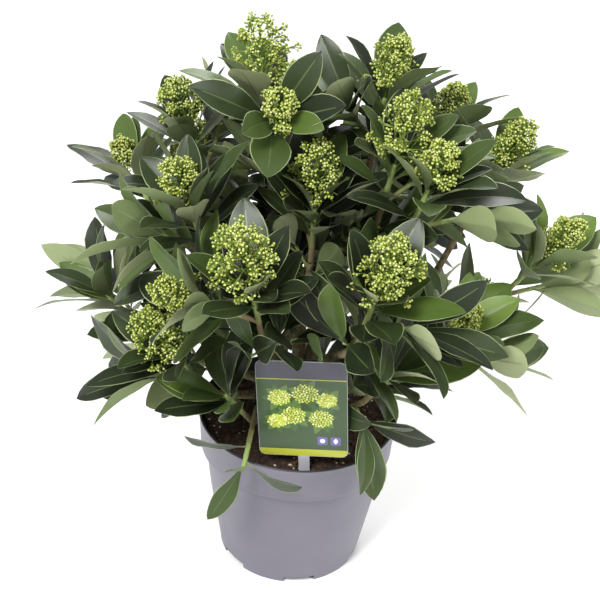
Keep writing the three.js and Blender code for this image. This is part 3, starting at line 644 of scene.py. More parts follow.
POT_PLASTIC = dict(
    name="pot_plastic", colour=(0.14, 0.132, 0.168), roughness=0.42, texture=(9, 6),
    stops=[(0.3, (0.127, 0.12, 0.152)), (0.7, (0.155, 0.146, 0.182))],
    grain=(900, 3), strength=0.12, distance=0.0004,
)
BARK = dict(
    name="bark", colour=(0.15, 0.11, 0.05), roughness=0.8, texture=(260, 8),
    stops=[(0.32, (0.07, 0.055, 0.025)), (0.5, (0.16, 0.125, 0.06)), (0.68, (0.25, 0.215, 0.12))],
    grain=(700, 6), strength=0.5, distance=0.0006,
)
PEAT = dict(
    name="peat", colour=(0.05, 0.025, 0.015), roughness=0.95, texture=(330, 8, 0.7),
    stops=[(0.3, (0.01, 0.005, 0.004)), (0.55, (0.036, 0.018, 0.011)), (0.8, (0.09, 0.044, 0.025))],
    grain=(480, 8), strength=0.8, distance=0.0015,
)
LEAF_TOPS = [
    (0.014, 0.021, 0.009), (0.024, 0.037, 0.012), (0.041, 0.066, 0.016), (0.065, 0.106, 0.02),
    (0.095, 0.152, 0.027), (0.128, 0.196, 0.037),
]
LEAF_BACKS = [(0.18, 0.23, 0.1), (0.26, 0.315, 0.15), (0.36, 0.405, 0.225)]
LEAF_RIB = (0.06, 0.094, 0.026)
LEAF_KEEL = (0.23, 0.29, 0.13)
# The pale colour of the leaves' upper edges is a painted rim highlight, the light caught along their margins.
LEAF_RIM_HIGHLIGHT = (0.27, 0.33, 0.15)
LEAF_GRAIN = dict(texture=(420, 4), relief=(0.14, 0.0004))


# ---- Mesh pieces ----
class Piece:
    """Vertices and faces of one kind, gathered and then made into one mesh object."""

    def __init__(self):
        self.points, self.faces, self.slots, self.count = [], {3: [], 4: []}, {3: [], 4: []}, 0

    def add(self, points, faces, slots):
        """faces are rows of corner numbers, all of one length; slots is one number or one for each."""
        faces = np.asarray(faces)
        size = faces.shape[1]
        self.faces[size].append(faces + self.count)
        self.slots[size].append(np.broadcast_to(slots, len(faces)))
        self.points.append(np.asarray(points, float).reshape(-1, 3))
        self.count += len(self.points[-1])

    def more(self, faces, slots):
        """Further faces on the points that were added last."""
        faces = np.asarray(faces)
        size = faces.shape[1]
        self.faces[size].append(faces + self.count - len(self.points[-1]))
        self.slots[size].append(np.broadcast_to(slots, len(faces)))

    def make(self, name, materials, smooth=True):
        sizes = [size for size in (3, 4) if self.faces[size]]
        rows = {size: np.concatenate(self.faces[size]) for size in sizes}
        loops = np.concatenate([rows[size].ravel() for size in sizes])
        totals = np.concatenate([np.full(len(rows[size]), size) for size in sizes])
        slots = np.concatenate([np.concatenate(self.slots[size]) for size in sizes])
        mesh = bpy.data.meshes.new(name)
        points = (np.concatenate(self.points) * MM).astype(np.float32)
        mesh.vertices.add(len(points))
        mesh.vertices.foreach_set("co", points.ravel())
        mesh.loops.add(len(loops))
        mesh.loops.foreach_set("vertex_index", loops.astype(np.int32))
        mesh.polygons.add(len(totals))
        mesh.polygons.foreach_set("loop_start", (np.cumsum(totals) - totals).astype(np.int32))
        mesh.polygons.foreach_set("material_index", slots.astype(np.int32))
        mesh.polygons.foreach_set("use_smooth", np.full(len(totals), smooth))
        for material in materials:
            mesh.materials.append(material)
        mesh.update(calc_edges=True)
        mesh.validate()
        piece = bpy.data.objects.new(name, mesh)
        bpy.context.scene.collection.objects.link(piece)
        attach(piece, "root")
        return piece


def ring_faces(rings, sides):
    """Squares between rings of points that follow one another."""
    i, k = np.meshgrid(np.arange(rings - 1), np.arange(sides), indexing="ij")
    a, b = i * sides + k, i * sides + (k + 1) % sides
    return np.stack([a, b, b + sides, a + sides], -1).reshape(-1, 4)


def fan(first, sides, middle, upward=True):
    """Triangles from a ring's points to one point, which lies after the ring or before it."""
    k = np.arange(sides)
    low, high = first + k, first + (k + 1) % sides
    return np.stack([low, high, np.full(sides, middle)][:: 1 if upward else -1], 1)


# ---- Leaves ----
ROWS = np.array([0, 0.05, 0.1, 0.17, 0.26, 0.36, 0.47, 0.58, 0.68, 0.78, 0.87, 0.94, 0.98])
COLUMNS = np.array([-1, -0.94, -0.62, -0.28, -0.045, 0.045, 0.28, 0.62, 0.94, 1])
RIB_COLUMN = 4
TOP, UNDER, RIB, KEEL, RIM_HIGHLIGHT = range(5)
# How many steps of LEAF_TOPS a spray is paler than the rest: partly younger leaves, partly painted back-light
# shining through thin leaves.
FRESH_AND_BACKLIT = dict(right=2, high_right=2, low_right=2, low_right_rear=2, skirt=1)
GROUPS = ((0, 5), (5, 11), (11, 16), (16, 21), (21, 26))


def leaf_faces():
    """The triangles of one blade, and which part of it each belongs to.

    Both sides are split along the same diagonals, so that they can't pass through each other.
    """
    rows, columns = len(ROWS), len(COLUMNS)
    top = np.arange(rows * columns).reshape(rows, columns)
    under = top.copy()
    under[:, 1:-1] = rows * columns + np.arange(rows * (columns - 2)).reshape(rows, columns - 2)
    tip = rows * columns + rows * (columns - 2)
    faces, kinds = [], []
    for grid, plain_kind, line_kind, way in ((top, TOP, RIB, -1), (under, UNDER, KEEL, 1)):
        for i in range(rows - 1):
            for k in range(columns - 1):
                near, far = grid[i : i + 2, k]
                next_near, next_far = grid[i : i + 2, k + 1]
                # The outer columns of the upper side take the pale edge colour, a painted rim highlight.
                edge = k in (0, columns - 2) and i > 2 and grid is top
                line = k == RIB_COLUMN and i < rows - 3 or i < 2
                faces += [(near, far, next_far)[::way], (near, next_far, next_near)[::way]]
                kinds += [RIM_HIGHLIGHT if edge else line_kind if line else plain_kind] * 2
        for k in range(columns - 1):
            faces.append((grid[-1, k], tip, grid[-1, k + 1])[::way])
            kinds.append(plain_kind)
    for k in range(columns - 1):
        low, high, under_high, under_low = top[0, k], top[0, k + 1], under[0, k + 1], under[0, k]
        root = [(under_low, under_high, high), (under_low, high, low)]
        root = [face for face in root if len(set(face)) == 3]
        faces += root
        kinds += [RIB] * len(root)
    return np.array(faces), np.array(kinds)


LEAF_FACES = leaf_faces()


BLADE = dict(
    sway=0.05, cup=(0.02, 0.3), cup_power=1.2, wave=(0.03, 0.07), waves=(8, 7), twist=0.5,
    droop=(0.05, 0.25), droop_from=0.65, sunk=0.4, above=0.22, below=0.25, edge_power=2.5, blunt_end=0.8,
    rib=0.3, rib_width=0.1, keel=0.75, keel_width=0.13, stem=0.09, stem_above=0.3, stem_below=0.8, tip=0.3,
)


def leaf_mesh(piece, leaf, tones, step):
    """One blade: cupped, waved and a little twisted, with a sunk midrib, a keel and a pale edge of painted
    rim highlight.
    """
    half = leaf["width"] / 2 * width_at(ROWS)[:, None]
    half[-1] *= BLADE["blunt_end"]
    t, s = np.meshgrid(ROWS, COLUMNS, indexing="ij")
    size = np.abs(s)
    across = s * half + leaf["length"] * BLADE["sway"] * (step() - 0.5) * t**2
    cup = share_of(BLADE["cup"], step) * half * size ** BLADE["cup_power"]
    wave = share_of(BLADE["wave"], step) * half * size**2
    wave = wave * np.sin(t * share_of(BLADE["waves"], step) + 6.3 * step() + s)
    twist = s * half * math.sin(swing(BLADE["twist"], step)) * t
    droop = -leaf["length"] * share_of(BLADE["droop"], step) * np.maximum(t - BLADE["droop_from"], 0) ** 2
    sheet = cup + wave + twist + droop - BLADE["sunk"]
    bulk = 1 - size ** BLADE["edge_power"]
    stem = np.exp(-((t / BLADE["stem"]) ** 2))
    rib = BLADE["rib"] * np.exp(-((s / BLADE["rib_width"]) ** 2)) * (1 - stem)
    keel = BLADE["keel"] * np.exp(-((s / BLADE["keel_width"]) ** 2)) * (1.05 - t)
    above = bulk * (BLADE["above"] + BLADE["stem_above"] * stem)
    below = bulk * (BLADE["below"] + BLADE["stem_below"] * stem)
    top = blade_points(leaf, t, across, sheet + above - rib)
    under = blade_points(leaf, t, across, sheet - below - keel)
    end = sheet[-1, RIB_COLUMN] - BLADE["tip"]
    tip = blade_points(leaf, 1.0, np.array(across[-1, RIB_COLUMN]), np.array(end))
    points = np.concatenate([top.reshape(-1, 3), under[:, 1:-1].reshape(-1, 3), tip.reshape(-1, 3)])
    faces, kinds = LEAF_FACES
    piece.add(points, faces, np.array(tones)[kinds])


def make_leaves(masses):
    """The blades in five pieces. Gives back a search tree of them all."""
    materials = []
    for name, colours, roughness in (("leaf_top", LEAF_TOPS, 0.4), ("leaf_back", LEAF_BACKS, 0.5)):
        for i, colour in enumerate(colours):
            materials.append(plain(f"{name}_{i + 1}", colour, roughness, Specular_IOR_Level=0.33))
    materials += [plain("leaf_rib", LEAF_RIB, 0.4), plain("leaf_keel", LEAF_KEEL, 0.5)]
    # The pale edge material is a painted rim highlight.
    materials += [plain("leaf_painted_rim_highlight", LEAF_RIM_HIGHLIGHT, 0.4)]
    for material in materials:
        bumped(material, noise(material, *LEAF_GRAIN["texture"]), *LEAF_GRAIN["relief"])
    tops, backs = len(LEAF_TOPS), len(LEAF_BACKS)
    pieces = []
    for number, (first, end) in enumerate(GROUPS):
        group = masses[first:end]
        piece = Piece()
        pieces.append(piece)
        step = random(500 + number)
        for mass in group:
            # The paler tops of these sprays are partly younger growth and partly painted back-light through
            # thin leaves.
            spray = FRESH_AND_BACKLIT.get(mass["row"]["name"], 0)
            for leaf in mass["leaves"]:
                shade = min(spray + int(step() ** 1.3 * 4), tops - 1)
                back = tops + int(step() * backs)
                leaf_mesh(piece, leaf, (shade, back, *range(tops + backs, tops + backs + 3)), step)
        made = piece.make(f"leaves_{number + 1}", materials)
        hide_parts(*[f"foliage_{mass['row']['name']}" for mass in group])
    return blade_tree(pieces)


# ---- Wood ----
def rough_tube(piece, points, directions, radii, sides, step, slots, rough=0.06):
    """A closed tube with a pointed end and a relief of ridges and knots."""
    ridge = np.array([1 + rough * (step() - 0.5) * 2 for _ in range(sides)])
    rings = tube_rings(points, directions, np.asarray(radii, float), sides)
    made = []
    for point, ring in zip(points, rings):
        swell = ridge * np.array([1 + rough * (step() - 0.5) for _ in range(sides)])
        made.append(point + (ring - point) * swell[:, None])
    ends = [points[-1] + directions[-1] * radii[-1] * 0.5, points[0]]
    count = len(made) * sides
    piece.add(np.concatenate([*made, ends]), ring_faces(len(made), sides), slots)
    piece.more(fan(count - sides, sides, count), np.ravel(slots)[-1])
    piece.more(fan(0, sides, count + 1, upward=False), np.ravel(slots)[0])


# The foot's outline: shares of its height and of its radius.
FLARE = (
    (0, 1.12), (0.04, 0.98), (0.12, 0.8), (0.25, 0.72), (0.5, 0.68), (0.7, 0.67), (0.88, 0.64), (0.97, 0.5),
)


def make_boughs(limbs):
    """The foot and every bough, with the relief of bark."""
    piece = Piece()
    step = random(31)
    base = SOIL["crown"] - 1
    points = [vec(FOOT["lean_x"] * s, FOOT["lean_y"] * s, base + FOOT["height"] * s) for s, _ in FLARE]
    radii = [FOOT["radius"] * wide for _, wide in FLARE]
    rough_tube(piece, points, [vec(0, 0, 1)] * len(FLARE), radii, 20, step, 0, 0.09)
    for limb in limbs.values():
        count = max(8, int(length_of(limb["line"][3] - limb["line"][0]) / 4.5))
        points, directions, radii = along_limb(limb, count)
        knots = [1 + 0.09 * max(0, math.sin(i * 1.9)) ** 4 for i in range(count + 1)]
        radii = [radius * knot for radius, knot in zip(radii, knots)]
        rough_tube(piece, points, directions, radii, 12, step, 0)
    made = piece.make("boughs", [mottled(**BARK)])
    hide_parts("stem_foot", *[f"bough_{name}" for name in limbs])


def make_twigs(masses):
    """The shoots: brown-green below, fresh green where the leaves stand."""
    piece = Piece()
    step = random(47)
    for mass in masses:
        for shoot in mass["shoots"] + mass["finer"]:
            count = max(10, int(length_of(shoot["top"] - shoot["base"]) / 3))
            shares = [i / count for i in range(count + 1)]
            low = shoot["base"] - shoot["axis"] * GAP
            points = [low + (shoot["top"] - low) * t for t in shares]
            knots = [1 + 0.07 * math.sin(i * 2.2) for i in range(count + 1)]
            radii = [shoot["radius"] * (1 - 0.18 * t) * knot for t, knot in zip(shares, knots)]
            slots = np.repeat([0 if t < 0.3 else 1 if t < 0.55 else 2 for t in shares[:-1]], 8)
            rough_tube(piece, points, [shoot["axis"]] * len(points), radii, 8, step, slots, 0.05)
    materials = palette([
        ("twig_brown", (0.19, 0.15, 0.07), 0.7),
        ("twig_olive", (0.2, 0.22, 0.07), 0.6),
        ("twig_green", (0.24, 0.32, 0.09), 0.5),
    ])
    made = piece.make("twigs", materials)
    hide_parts(*[f"foliage_{mass['row']['name']}" for mass in masses])


# ---- Panicles ----
BUD = dict(
    rings=((-0.22, 0.9), (0.22, 0.86)), sides=6, length=(2.15, 0.7), width=0.98,
    count=(5, 4), branches=11, per_branch=4.5, forks=4, pieces=4,
)
LIME, GREEN, YELLOW, STALK, TIP = range(5)
STALKS = dict(low=1.6, high=1.1, branch=0.85, fork=0.55, bud=0.42)
BRANCH = dict(
    azimuth=30, low=0.06, rise=0.84, power=0.9, out=(0.45, 0.55), vary=0.06, root_below=0.2, root_low=0.02,
    split=(24, 18), fork_turn=1.6, far=(0.75, 0.5), far_of_bloom=0.045, neck=0.7,
    cyme=3.1, cyme_of_bloom=0.012,
)


def bud_mesh(piece, centre, way, long, slots):
    """One flower bud: a closed ovoid with a paler tip."""
    a, b = across_of(way)
    sides = BUD["sides"]
    angle = 2 * np.pi * np.arange(sides) / sides
    around = np.outer(np.cos(angle), a) + np.outer(np.sin(angle), b)
    rings = [centre + way * long * h + around * long * BUD["width"] / 2 * w for h, w in BUD["rings"]]
    count = len(rings) * sides
    ends = [centre + way * long * 0.5, centre - way * long * 0.5]
    piece.add(np.concatenate([*rings, ends]), ring_faces(len(rings), sides), slots[0])
    piece.more(fan(count - sides, sides, count), slots[1])
    piece.more(fan(0, sides, count + 1, upward=False), slots[0])


def stalk_mesh(piece, start, end, radius):
    """A thin closed stalk with three sides."""
    piece.add(np.concatenate(straight_rings(start, end, [radius, radius * 0.8], 3)), ring_faces(2, 3), STALK)
    piece.more([(2, 1, 0), (3, 4, 5)], STALK)


def dome_width(share):
    heights, widths = zip(*BUDS["outline"])
    return float(np.interp(share, heights, widths))


def blade_tree(pieces):
    """Every blade's triangles as one search tree, in millimetres."""
    starts = np.cumsum([0, *[piece.count for piece in pieces]])
    points = np.concatenate([rows for piece in pieces for rows in piece.points])
    faces = np.concatenate([np.concatenate(piece.faces[3]) + start for piece, start in zip(pieces, starts)])
    return BVHTree.FromPolygons(points.tolist(), faces.tolist())


def meets_leaf(blades, neck, centre, reach):
    """Whether a bud at the centre, or its stalk from the neck, would pass through a leaf."""
    if blades.find_nearest(Vector(centre), reach)[0] is not None:
        return True
    along = Vector(centre - neck)
    return blades.ray_cast(Vector(neck), Vector(unit(centre - neck)), along.length)[0] is not None


def cyme_mesh(buds, blades, neck, heart, way, reach, count, step):
    """A small cluster: stalked buds that fan out from one neck, but for those that would meet a leaf."""
    for k in range(count):
        tilt = math.acos(1 - 1.25 * k / count)
        toward = tilted(way, tilt, math.radians(SHOOT["turn"] * k) + step())
        centre = heart + toward * reach * (0.8 + 0.4 * step())
        long = share_of(BUD["length"], step)
        slots = ((LIME, GREEN, LIME, YELLOW)[int(step() * 4)], TIP if step() < 0.55 else YELLOW)
        if not meets_leaf(blades, neck, centre, long / 2):
            stalk_mesh(buds, neck, centre - toward * long * 0.4, STALKS["bud"])
            bud_mesh(buds, centre, unit(toward + way * 0.3), long, slots)


def panicle_mesh(buds, blades, shoot, step):
    """A rachis with branches in a spiral, each of which forks into clusters of stalked buds."""
    axis, bloom = shoot["axis"], shoot["bloom"]
    foot = shoot["top"] + axis * BUDS["stalk"]
    stalk_mesh(buds, shoot["top"] - axis * 2, foot + axis * bloom * 0.45, STALKS["low"])
    stalk_mesh(buds, foot + axis * bloom * 0.45, foot + axis * bloom * 0.85, STALKS["high"])
    branches = int(BUD["branches"] + bloom / BUD["per_branch"])
    wide = bloom * shoot["girth"]
    for i in range(branches + 1):
        share = i / branches
        azimuth = math.radians(SHOOT["turn"] * i + swing(BRANCH["azimuth"], step))
        height = BRANCH["low"] + BRANCH["rise"] * share ** BRANCH["power"]
        out = wide * dome_width(height) * share_of(BRANCH["out"], step)
        a, b = across_of(axis)
        around = a * math.cos(azimuth) + b * math.sin(azimuth)
        middle = foot + axis * bloom * (height + swing(BRANCH["vary"], step)) + around * out
        root = foot + axis * bloom * max(BRANCH["root_low"], height - BRANCH["root_below"])
        way, span = unit(middle - root), length_of(middle - root)
        fork = root + way * span * 0.5
        stalk_mesh(buds, root, fork, STALKS["branch"])
        for k in range(BUD["forks"]):
            split = math.radians(share_of(BRANCH["split"], step))
            side = tilted(way, split, BRANCH["fork_turn"] * k + 6.3 * step())
            far = span * 0.5 + bloom * BRANCH["far_of_bloom"]
            heart = fork + side * far * share_of(BRANCH["far"], step)
            neck = fork + (heart - fork) * BRANCH["neck"]
            stalk_mesh(buds, fork, neck, STALKS["fork"])
            reach = BRANCH["cyme"] + bloom * BRANCH["cyme_of_bloom"]
            cyme_mesh(buds, blades, neck, heart, side, reach, int(share_of(BUD["count"], step)), step)


def make_panicles(masses, blades):
    materials = palette([
        ("bud_lime", (0.28, 0.35, 0.045), 0.55),
        ("bud_green", (0.18, 0.255, 0.03), 0.55),
        ("bud_yellow", (0.38, 0.43, 0.075), 0.55),
        ("bud_stalk", (0.2, 0.285, 0.038), 0.6),
        ("bud_tip", (0.54, 0.57, 0.22), 0.55),
    ])
    blooming = [mass for mass in masses if any(shoot["bloom"] for shoot in mass["shoots"])]
    share = (len(blooming) + BUD["pieces"] - 1) // BUD["pieces"]
    for number in range(BUD["pieces"]):
        group = blooming[number * share : (number + 1) * share]
        buds = Piece()
        step = random(900 + number)
        for mass in group:
            for shoot in mass["shoots"]:
                if shoot["bloom"]:
                    panicle_mesh(buds, blades, shoot, step)
        made = buds.make(f"panicles_{number + 1}", materials)
        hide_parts(*[f"foliage_{mass['row']['name']}" for mass in group])


# ---- Pot ----
def make_pot():
    """The pot turned from its profile, with the drain notches cut out of its base."""
    height, rim, base, wall = POT["height"], POT["rim"], POT["base"], POT["wall"]
    band = height - POT["band"]
    low_rim = rim - POT["rim_taper"]
    under = low_rim - POT["step"]
    outside = [
        (0, 0), (base - 1, 0), (base - 0.2, 0.5), (base + 0.2, 1.6), (base + 1.0, 8),
        (under - 6, band * 0.6), (under - 0.5, band - 8), (under, band - 3), (under + 0.5, band - 2.2),
        (low_rim - 0.8, band - 0.9), (low_rim, band), (low_rim + 0.3, band + 2), (low_rim + 0.2, band + 4),
        (rim - 1.1, height - 9), (rim - 0.6, height - 4.5), (rim - 0.1, height - 2.6), (rim, height - 1.2),
        (rim - 0.5, height - 0.3), (rim - 1.2, height),
    ]
    inside = [
        (rim - wall + 0.4, height - 0.3), (rim - wall, height - 1.2), (low_rim - wall, band + 1),
        (under - wall, band - 3), (base - wall, POT["floor"]), (0, POT["floor"]),
    ]
    profile = outside + inside
    sides = 160
    piece = Piece()
    rings = [circle(radius, z, sides) for radius, z in profile[1:-1]]
    points = np.concatenate([*rings, [vec(0, 0, POT["floor"])], [vec(0, 0, 0)]])
    slots = np.repeat([0] * (len(outside) - 4) + [1] * (len(inside) + 1), sides)
    piece.add(points, ring_faces(len(rings), sides), slots)
    count = len(rings) * sides
    piece.more(fan(count - sides, sides, count), 1)
    piece.more(fan(0, sides, count + 1, upward=False), 0)
    pot = piece.make("pot_turned", [mottled(**POT_PLASTIC), plain("pot_black", (0.01, 0.011, 0.015), 0.45)])
    cut_notches(pot)
    for polygon in pot.data.polygons:
        polygon.use_smooth = True
    pot.data.set_sharp_from_angle(angle=math.radians(38))
    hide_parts("pot")


def cut_notches(pot):
    cutter = Piece()
    for i in range(POT["drains"]):
        angle = math.radians(POT["first_drain"] + i * 360 / POT["drains"])
        out, along = vec(math.cos(angle), math.sin(angle), 0), vec(-math.sin(angle), math.cos(angle), 0)
        corners = []
        for z in (-POT["drain_height"], POT["drain_height"]):
            for reach, side in ((-1, -1), (1, -1), (1, 1), (-1, 1)):
                middle = out * (POT["base"] + reach * POT["drain_depth"])
                corners.append(middle + along * side * POT["drain_width"] / 2 + vec(0, 0, z))
        faces = [(3, 2, 1, 0), (4, 5, 6, 7), (0, 1, 5, 4), (1, 2, 6, 5), (2, 3, 7, 6), (3, 0, 4, 7)]
        cutter.add(corners, faces, 0)
    tool = cutter.make("notch_cutter", [], smooth=False)
    cut = pot.modifiers.new("notches", "BOOLEAN")
    cut.operation = "DIFFERENCE"
    cut.solver = "EXACT"
    cut.object = tool
    bpy.context.view_layer.objects.active = pot
    bpy.ops.object.modifier_apply(modifier=cut.name)
    bpy.data.objects.remove(tool)


# ---- Growing mix ----
def mix_height(radius):
    """The top of the growing mix at a distance from the pot's axis."""
    edge = POT["rim"] - POT["rim_taper"] - POT["wall"]
    share = np.clip((edge - radius) / (edge - SOIL["flat"]), 0, 1)
    return SOIL["edge"] + (SOIL["crown"] - SOIL["edge"]) * share


def chip_mesh(piece, centre, size, step, slot):
    """One crumb: a lopsided eight-faced lump."""
    turn = step() * 6.3
    c, s = math.cos(turn), math.sin(turn)
    points = []
    for way in (vec(c, s, 0), vec(-s, c, 0), vec(-c, -s, 0), vec(s, -c, 0)):
        out = way * size * (0.55 + 0.9 * step())
        points.append(centre + out + vec(0, 0, size * 0.5 * (step() - 0.5)))
    x, y = size * 0.3 * (step() - 0.5), size * 0.3 * (step() - 0.5)
    points += [centre + vec(x, y, size * (0.35 + 0.5 * step())), centre - vec(0, 0, size * 0.5)]
    faces = [(0, 1, 4), (1, 2, 4), (2, 3, 4), (3, 0, 4), (1, 0, 5), (2, 1, 5), (3, 2, 5), (0, 3, 5)]
    piece.add(points, faces, slot)


def make_mix():
    """The bed of peat and bark, with loose crumbs and pale grains on it."""
    piece = Piece()
    step = random(61)
    sides, edge = 140, POT["rim"] - POT["rim_taper"] - POT["wall"] - 0.6
    radii = np.append(np.linspace(edge, 6, 34), 1.5)
    rings = []
    for i, radius in enumerate(radii):
        ring = circle(radius, 0, sides)
        lumps = np.array([step() for _ in range(sides)])
        slow = np.sin(ring[:, 0] * 0.13 + 1) * np.cos(ring[:, 1] * 0.11) * 1.3
        ring[:, 2] = mix_height(radius) + slow + (lumps - 0.5) * (0 if i == 0 else 2.2)
        rings.append(ring)
    wall = circle(edge, SOIL["edge"] - 12, sides)
    ends = [vec(0, 0, SOIL["crown"]), vec(0, 0, SOIL["edge"] - 12)]
    count = (len(rings) + 1) * sides
    piece.add(np.concatenate([wall, *rings, ends]), ring_faces(len(rings) + 1, sides), 0)
    piece.more(fan(count - sides, sides, count), 0)
    piece.more(fan(0, sides, count + 1, upward=False), 0)
    for _ in range(1500):
        radius, angle = (edge - 3) * math.sqrt(step()), 2 * math.pi * step()
        centre = vec(radius * math.cos(angle), radius * math.sin(angle), mix_height(radius) + 0.6)
        kind = step()
        size = 1.1 + 2.6 * step() ** 3
        chip_mesh(piece, centre, size, step, 4 if kind < 0.09 else 1 + int(step() * 3))
    materials = [mottled(**PEAT)] + palette([
        ("bark_chip_dark", (0.022, 0.011, 0.007), 0.9),
        ("bark_chip_brown", (0.06, 0.028, 0.015), 0.85),
        ("bark_chip_red", (0.1, 0.046, 0.024), 0.8),
        ("pale_grain", (0.55, 0.5, 0.42), 0.85),
    ])
    made = piece.make("bed_of_mix", materials, smooth=False)
    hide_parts("growing_mix")


# ---- Label ----
SHEET, DEEP_GREEN, SLATE, YELLOW_GREEN, PRINT_LEAF, PALE_LEAF, PRINT_LIME, WHITE, CREAM, VIOLET = range(10)
# Six bud heads on the print: right of the middle, up, and half width.
HEADS = ((-22, 88, 11), (3, 93, 13), (24, 86, 10), (-9, 67, 12), (18, 64, 12), (-25, 60, 9.5))


def corner_points(x0, y0, x1, y1, high, low=None, steps=8):
    """A rectangle with round corners of these sizes, above and below."""
    low = high if low is None else low
    points = []
    for cx, cy, size, first in ((x1 - low, y0 + low, low, -90), (x1 - high, y1 - high, high, 0),
                                (x0 + high, y1 - high, high, 90), (x0 + low, y0 + low, low, 180)):
        for i in range(steps + 1):
            angle = math.radians(first + 90 * i / steps)
            points.append((cx + size * math.cos(angle), cy + size * math.sin(angle)))
    return points


def disc_points(x, y, wide, high, sides=20):
    points = []
    for k in range(sides):
        angle = 2 * math.pi * k / sides
        a, b = wide * math.cos(angle), high * math.sin(angle)
        points.append((x + a, y + b))
    return points


def petal_points(x, y, long, wide, turn, sides=18):
    """A pointed oval from x, y."""
    points = []
    for k in range(sides):
        share = k / (sides // 2)
        up = share if share <= 1 else 2 - share
        side = math.sin(math.pi * up) * wide / 2 * (-1 if share <= 1 else 1)
        points.append((x + long * up * math.cos(turn) - side * math.sin(turn),
                       y + long * up * math.sin(turn) + side * math.cos(turn)))
    return points


def sheet(piece, outline, front, back, slot):
    """A closed sheet with this outline, between two levels of the label's thickness."""
    count = len(outline)
    middle = (0, LABEL["stake"] + LABEL["height"] / 2) if slot == SHEET else np.mean(outline, 0)
    points = [(x, level, y) for level in (front, back) for x, y in [*outline, middle]]
    k = np.arange(count)
    after = (k + 1) % count
    piece.add(on_label(points), fan(0, count, count), slot)
    piece.more(fan(count + 1, count, 2 * count + 1, upward=False), slot)
    piece.more(np.stack([k, k + count + 1, after + count + 1, after], 1), slot)


def flat_shape(piece, outline, layer, slot):
    """A printed shape on the label's front, a hair above what is under it."""
    sheet(piece, outline, -LABEL["thick"] / 2 - 0.02 - 0.012 * layer, 0.03 * layer, slot)


def plate_mesh(piece):
    """The plate and its stake."""
    half, low, high = LABEL["width"] / 2, LABEL["stake"], LABEL["stake"] + LABEL["height"]
    stake, foot = LABEL["stake_width"] / 2, 8 - LABEL["buried"]
    tail = [(-stake, low), (-stake, foot), (0, -LABEL["buried"]), (stake, foot), (stake, low)]
    outline = corner_points(-half, low, half, high, LABEL["corner"]) + tail
    sheet(piece, outline, -LABEL["thick"] / 2, LABEL["thick"] / 2, SHEET)


def make_label():
    """The label's plate, with a generic print of leaves and round buds and no lettering."""
    piece = Piece()
    plate_mesh(piece)
    half, low = LABEL["width"] / 2 - 0.4, LABEL["stake"] + 0.4
    high = LABEL["stake"] + LABEL["height"] - 0.4
    step = random(83)
    flat_shape(piece, corner_points(-half, low, half, high, 6.6), 0, YELLOW_GREEN)
    flat_shape(piece, corner_points(-half, low + 8, half, high, 6.6, 0.3), 1, DEEP_GREEN)
    flat_shape(piece, corner_points(-half, high - 20, half, high, 6.6, 0.3), 6, SLATE)
    flat_shape(piece, corner_points(-half, high - 20.6, half, high - 19.6, 0.4, steps=2), 7, YELLOW_GREEN)
    for x, y, size in HEADS:
        for i in range(8):
            turn = math.radians(45 * i + 30 * step())
            petal = petal_points(x, y, size * (1.3 + 0.4 * step()), 8, turn)
            flat_shape(piece, petal, 2 + i * 0.1, (PRINT_LEAF, PALE_LEAF)[i % 2])
    for x, y, size in HEADS:
        for i in range(64):
            reach, turn = size * math.sqrt(i / 64), math.radians(137.5 * i)
            spot = (x + reach * math.cos(turn), y + reach * 0.85 * math.sin(turn))
            slot = (PRINT_LIME, YELLOW_GREEN, CREAM, PRINT_LIME)[int(step() * 4)]
            flat_shape(piece, disc_points(*spot, 1.15, 1.15, sides=8), 3 + i * 0.01, slot)
    for x in (19, 32):
        flat_shape(piece, corner_points(x - 5, low + 14, x + 5, low + 24, 1.5), 4, VIOLET)
    flat_shape(piece, disc_points(19, low + 19, 2.6, 2.6), 5, WHITE)
    flat_shape(piece, petal_points(32, low + 15.4, 7.2, 4.4, math.pi / 2), 5, WHITE)
    materials = palette([
        ("label_sheet", (0.42, 0.42, 0.46), 0.35),
        ("print_deep_green", (0.035, 0.07, 0.022), 0.3),
        ("print_slate", (0.052, 0.05, 0.075), 0.3),
        ("print_yellow_green", (0.4, 0.42, 0.035), 0.3),
        ("print_leaf", (0.05, 0.11, 0.025), 0.3),
        ("print_leaf_pale", (0.09, 0.17, 0.04), 0.3),
        ("print_lime", (0.52, 0.6, 0.09), 0.3),
        ("print_white", (0.75, 0.76, 0.74), 0.3),
        ("print_cream", (0.72, 0.74, 0.3), 0.3),
        ("print_violet", (0.13, 0.1, 0.32), 0.3),
    ], Coat_Weight=0.15)
    made = piece.make("picture_label", materials, smooth=False)
    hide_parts("label")


# ---- Studio ----
LIT_POINT = (0, 0, 0.3)
FLOOR = 6


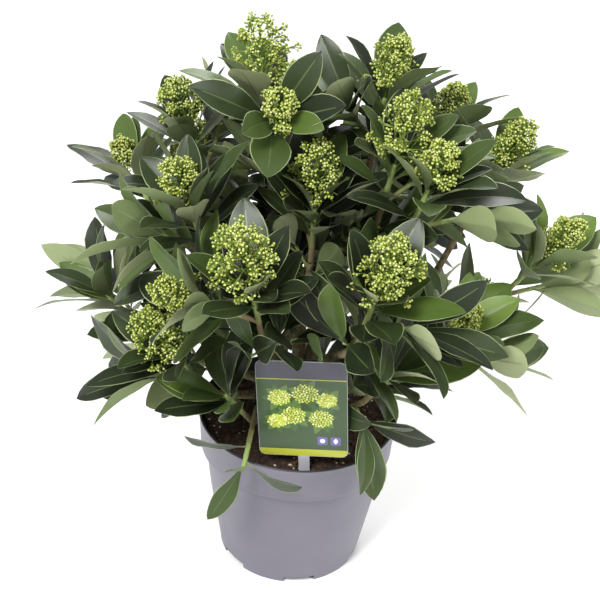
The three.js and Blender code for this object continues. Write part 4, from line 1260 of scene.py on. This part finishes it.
def make_floor():
    mesh = bpy.data.meshes.new("floor")
    corners = [(x * FLOOR, y * FLOOR, 0) for x, y in ((-1, -1), (1, -1), (1, 1), (-1, 1))]
    mesh.from_pydata(corners, [], [(0, 1, 2, 3)])
    mesh.materials.append(plain("floor_white", (0.92, 0.92, 0.92), 0.7))
    floor = bpy.data.objects.new("floor", mesh)
    bpy.context.scene.collection.objects.link(floor)


def make_light(name, place, size, power):
    """A round lamp that points at the middle of the plant."""
    data = bpy.data.lights.new(name, "AREA")
    data.shape = "DISK"
    data.size = size
    data.energy = power
    lamp = bpy.data.objects.new(name, data)
    bpy.context.scene.collection.objects.link(lamp)
    lamp.location = place
    way = np.array(LIT_POINT, float) - np.array(place, float)
    lamp.rotation_mode = "QUATERNION"
    lamp.rotation_quaternion = Vector(way).to_track_quat("-Z", "Y")


def make_studio():
    world = bpy.data.worlds.new("studio")
    bpy.context.scene.world = world
    world.use_nodes = True
    world.node_tree.nodes["Background"].inputs["Color"].default_value = (1, 1, 1, 1)
    world.node_tree.nodes["Background"].inputs["Strength"].default_value = 0.62
    make_light("key", (-0.9, -1.5, 2.2), 0.9, 75)
    make_light("fill", (1.6, -1.2, 1.4), 1.0, 22)
    make_light("rear", (0.3, 1.8, 1.9), 1.2, 35)
    bpy.context.scene.view_settings.view_transform = "Standard"


def make_camera():
    """It stands 0.9 m up and 1 m in front, looks 31 degrees down and is rolled a little."""
    data = bpy.data.cameras.new("camera")
    data.sensor_width = 36
    data.lens = 69.6
    camera = bpy.data.objects.new("camera", data)
    bpy.context.scene.collection.objects.link(camera)
    camera.location = (-0.006, -0.993, 0.908)
    camera.rotation_mode = "QUATERNION"
    down, roll = math.radians(90 - 31.1), 0.069
    camera.rotation_quaternion = Quaternion((1, 0, 0), down) @ Quaternion((0, 0, 1), roll)
    bpy.context.scene.camera = camera


make_camera()
limbs, masses, crown = grow_plant()
grow_finer(limbs, masses, crown)
blades = make_leaves(masses)
make_boughs(limbs)
make_twigs(masses)
make_panicles(masses, blades)
make_pot()
make_mix()
make_label()
make_floor()
make_studio()
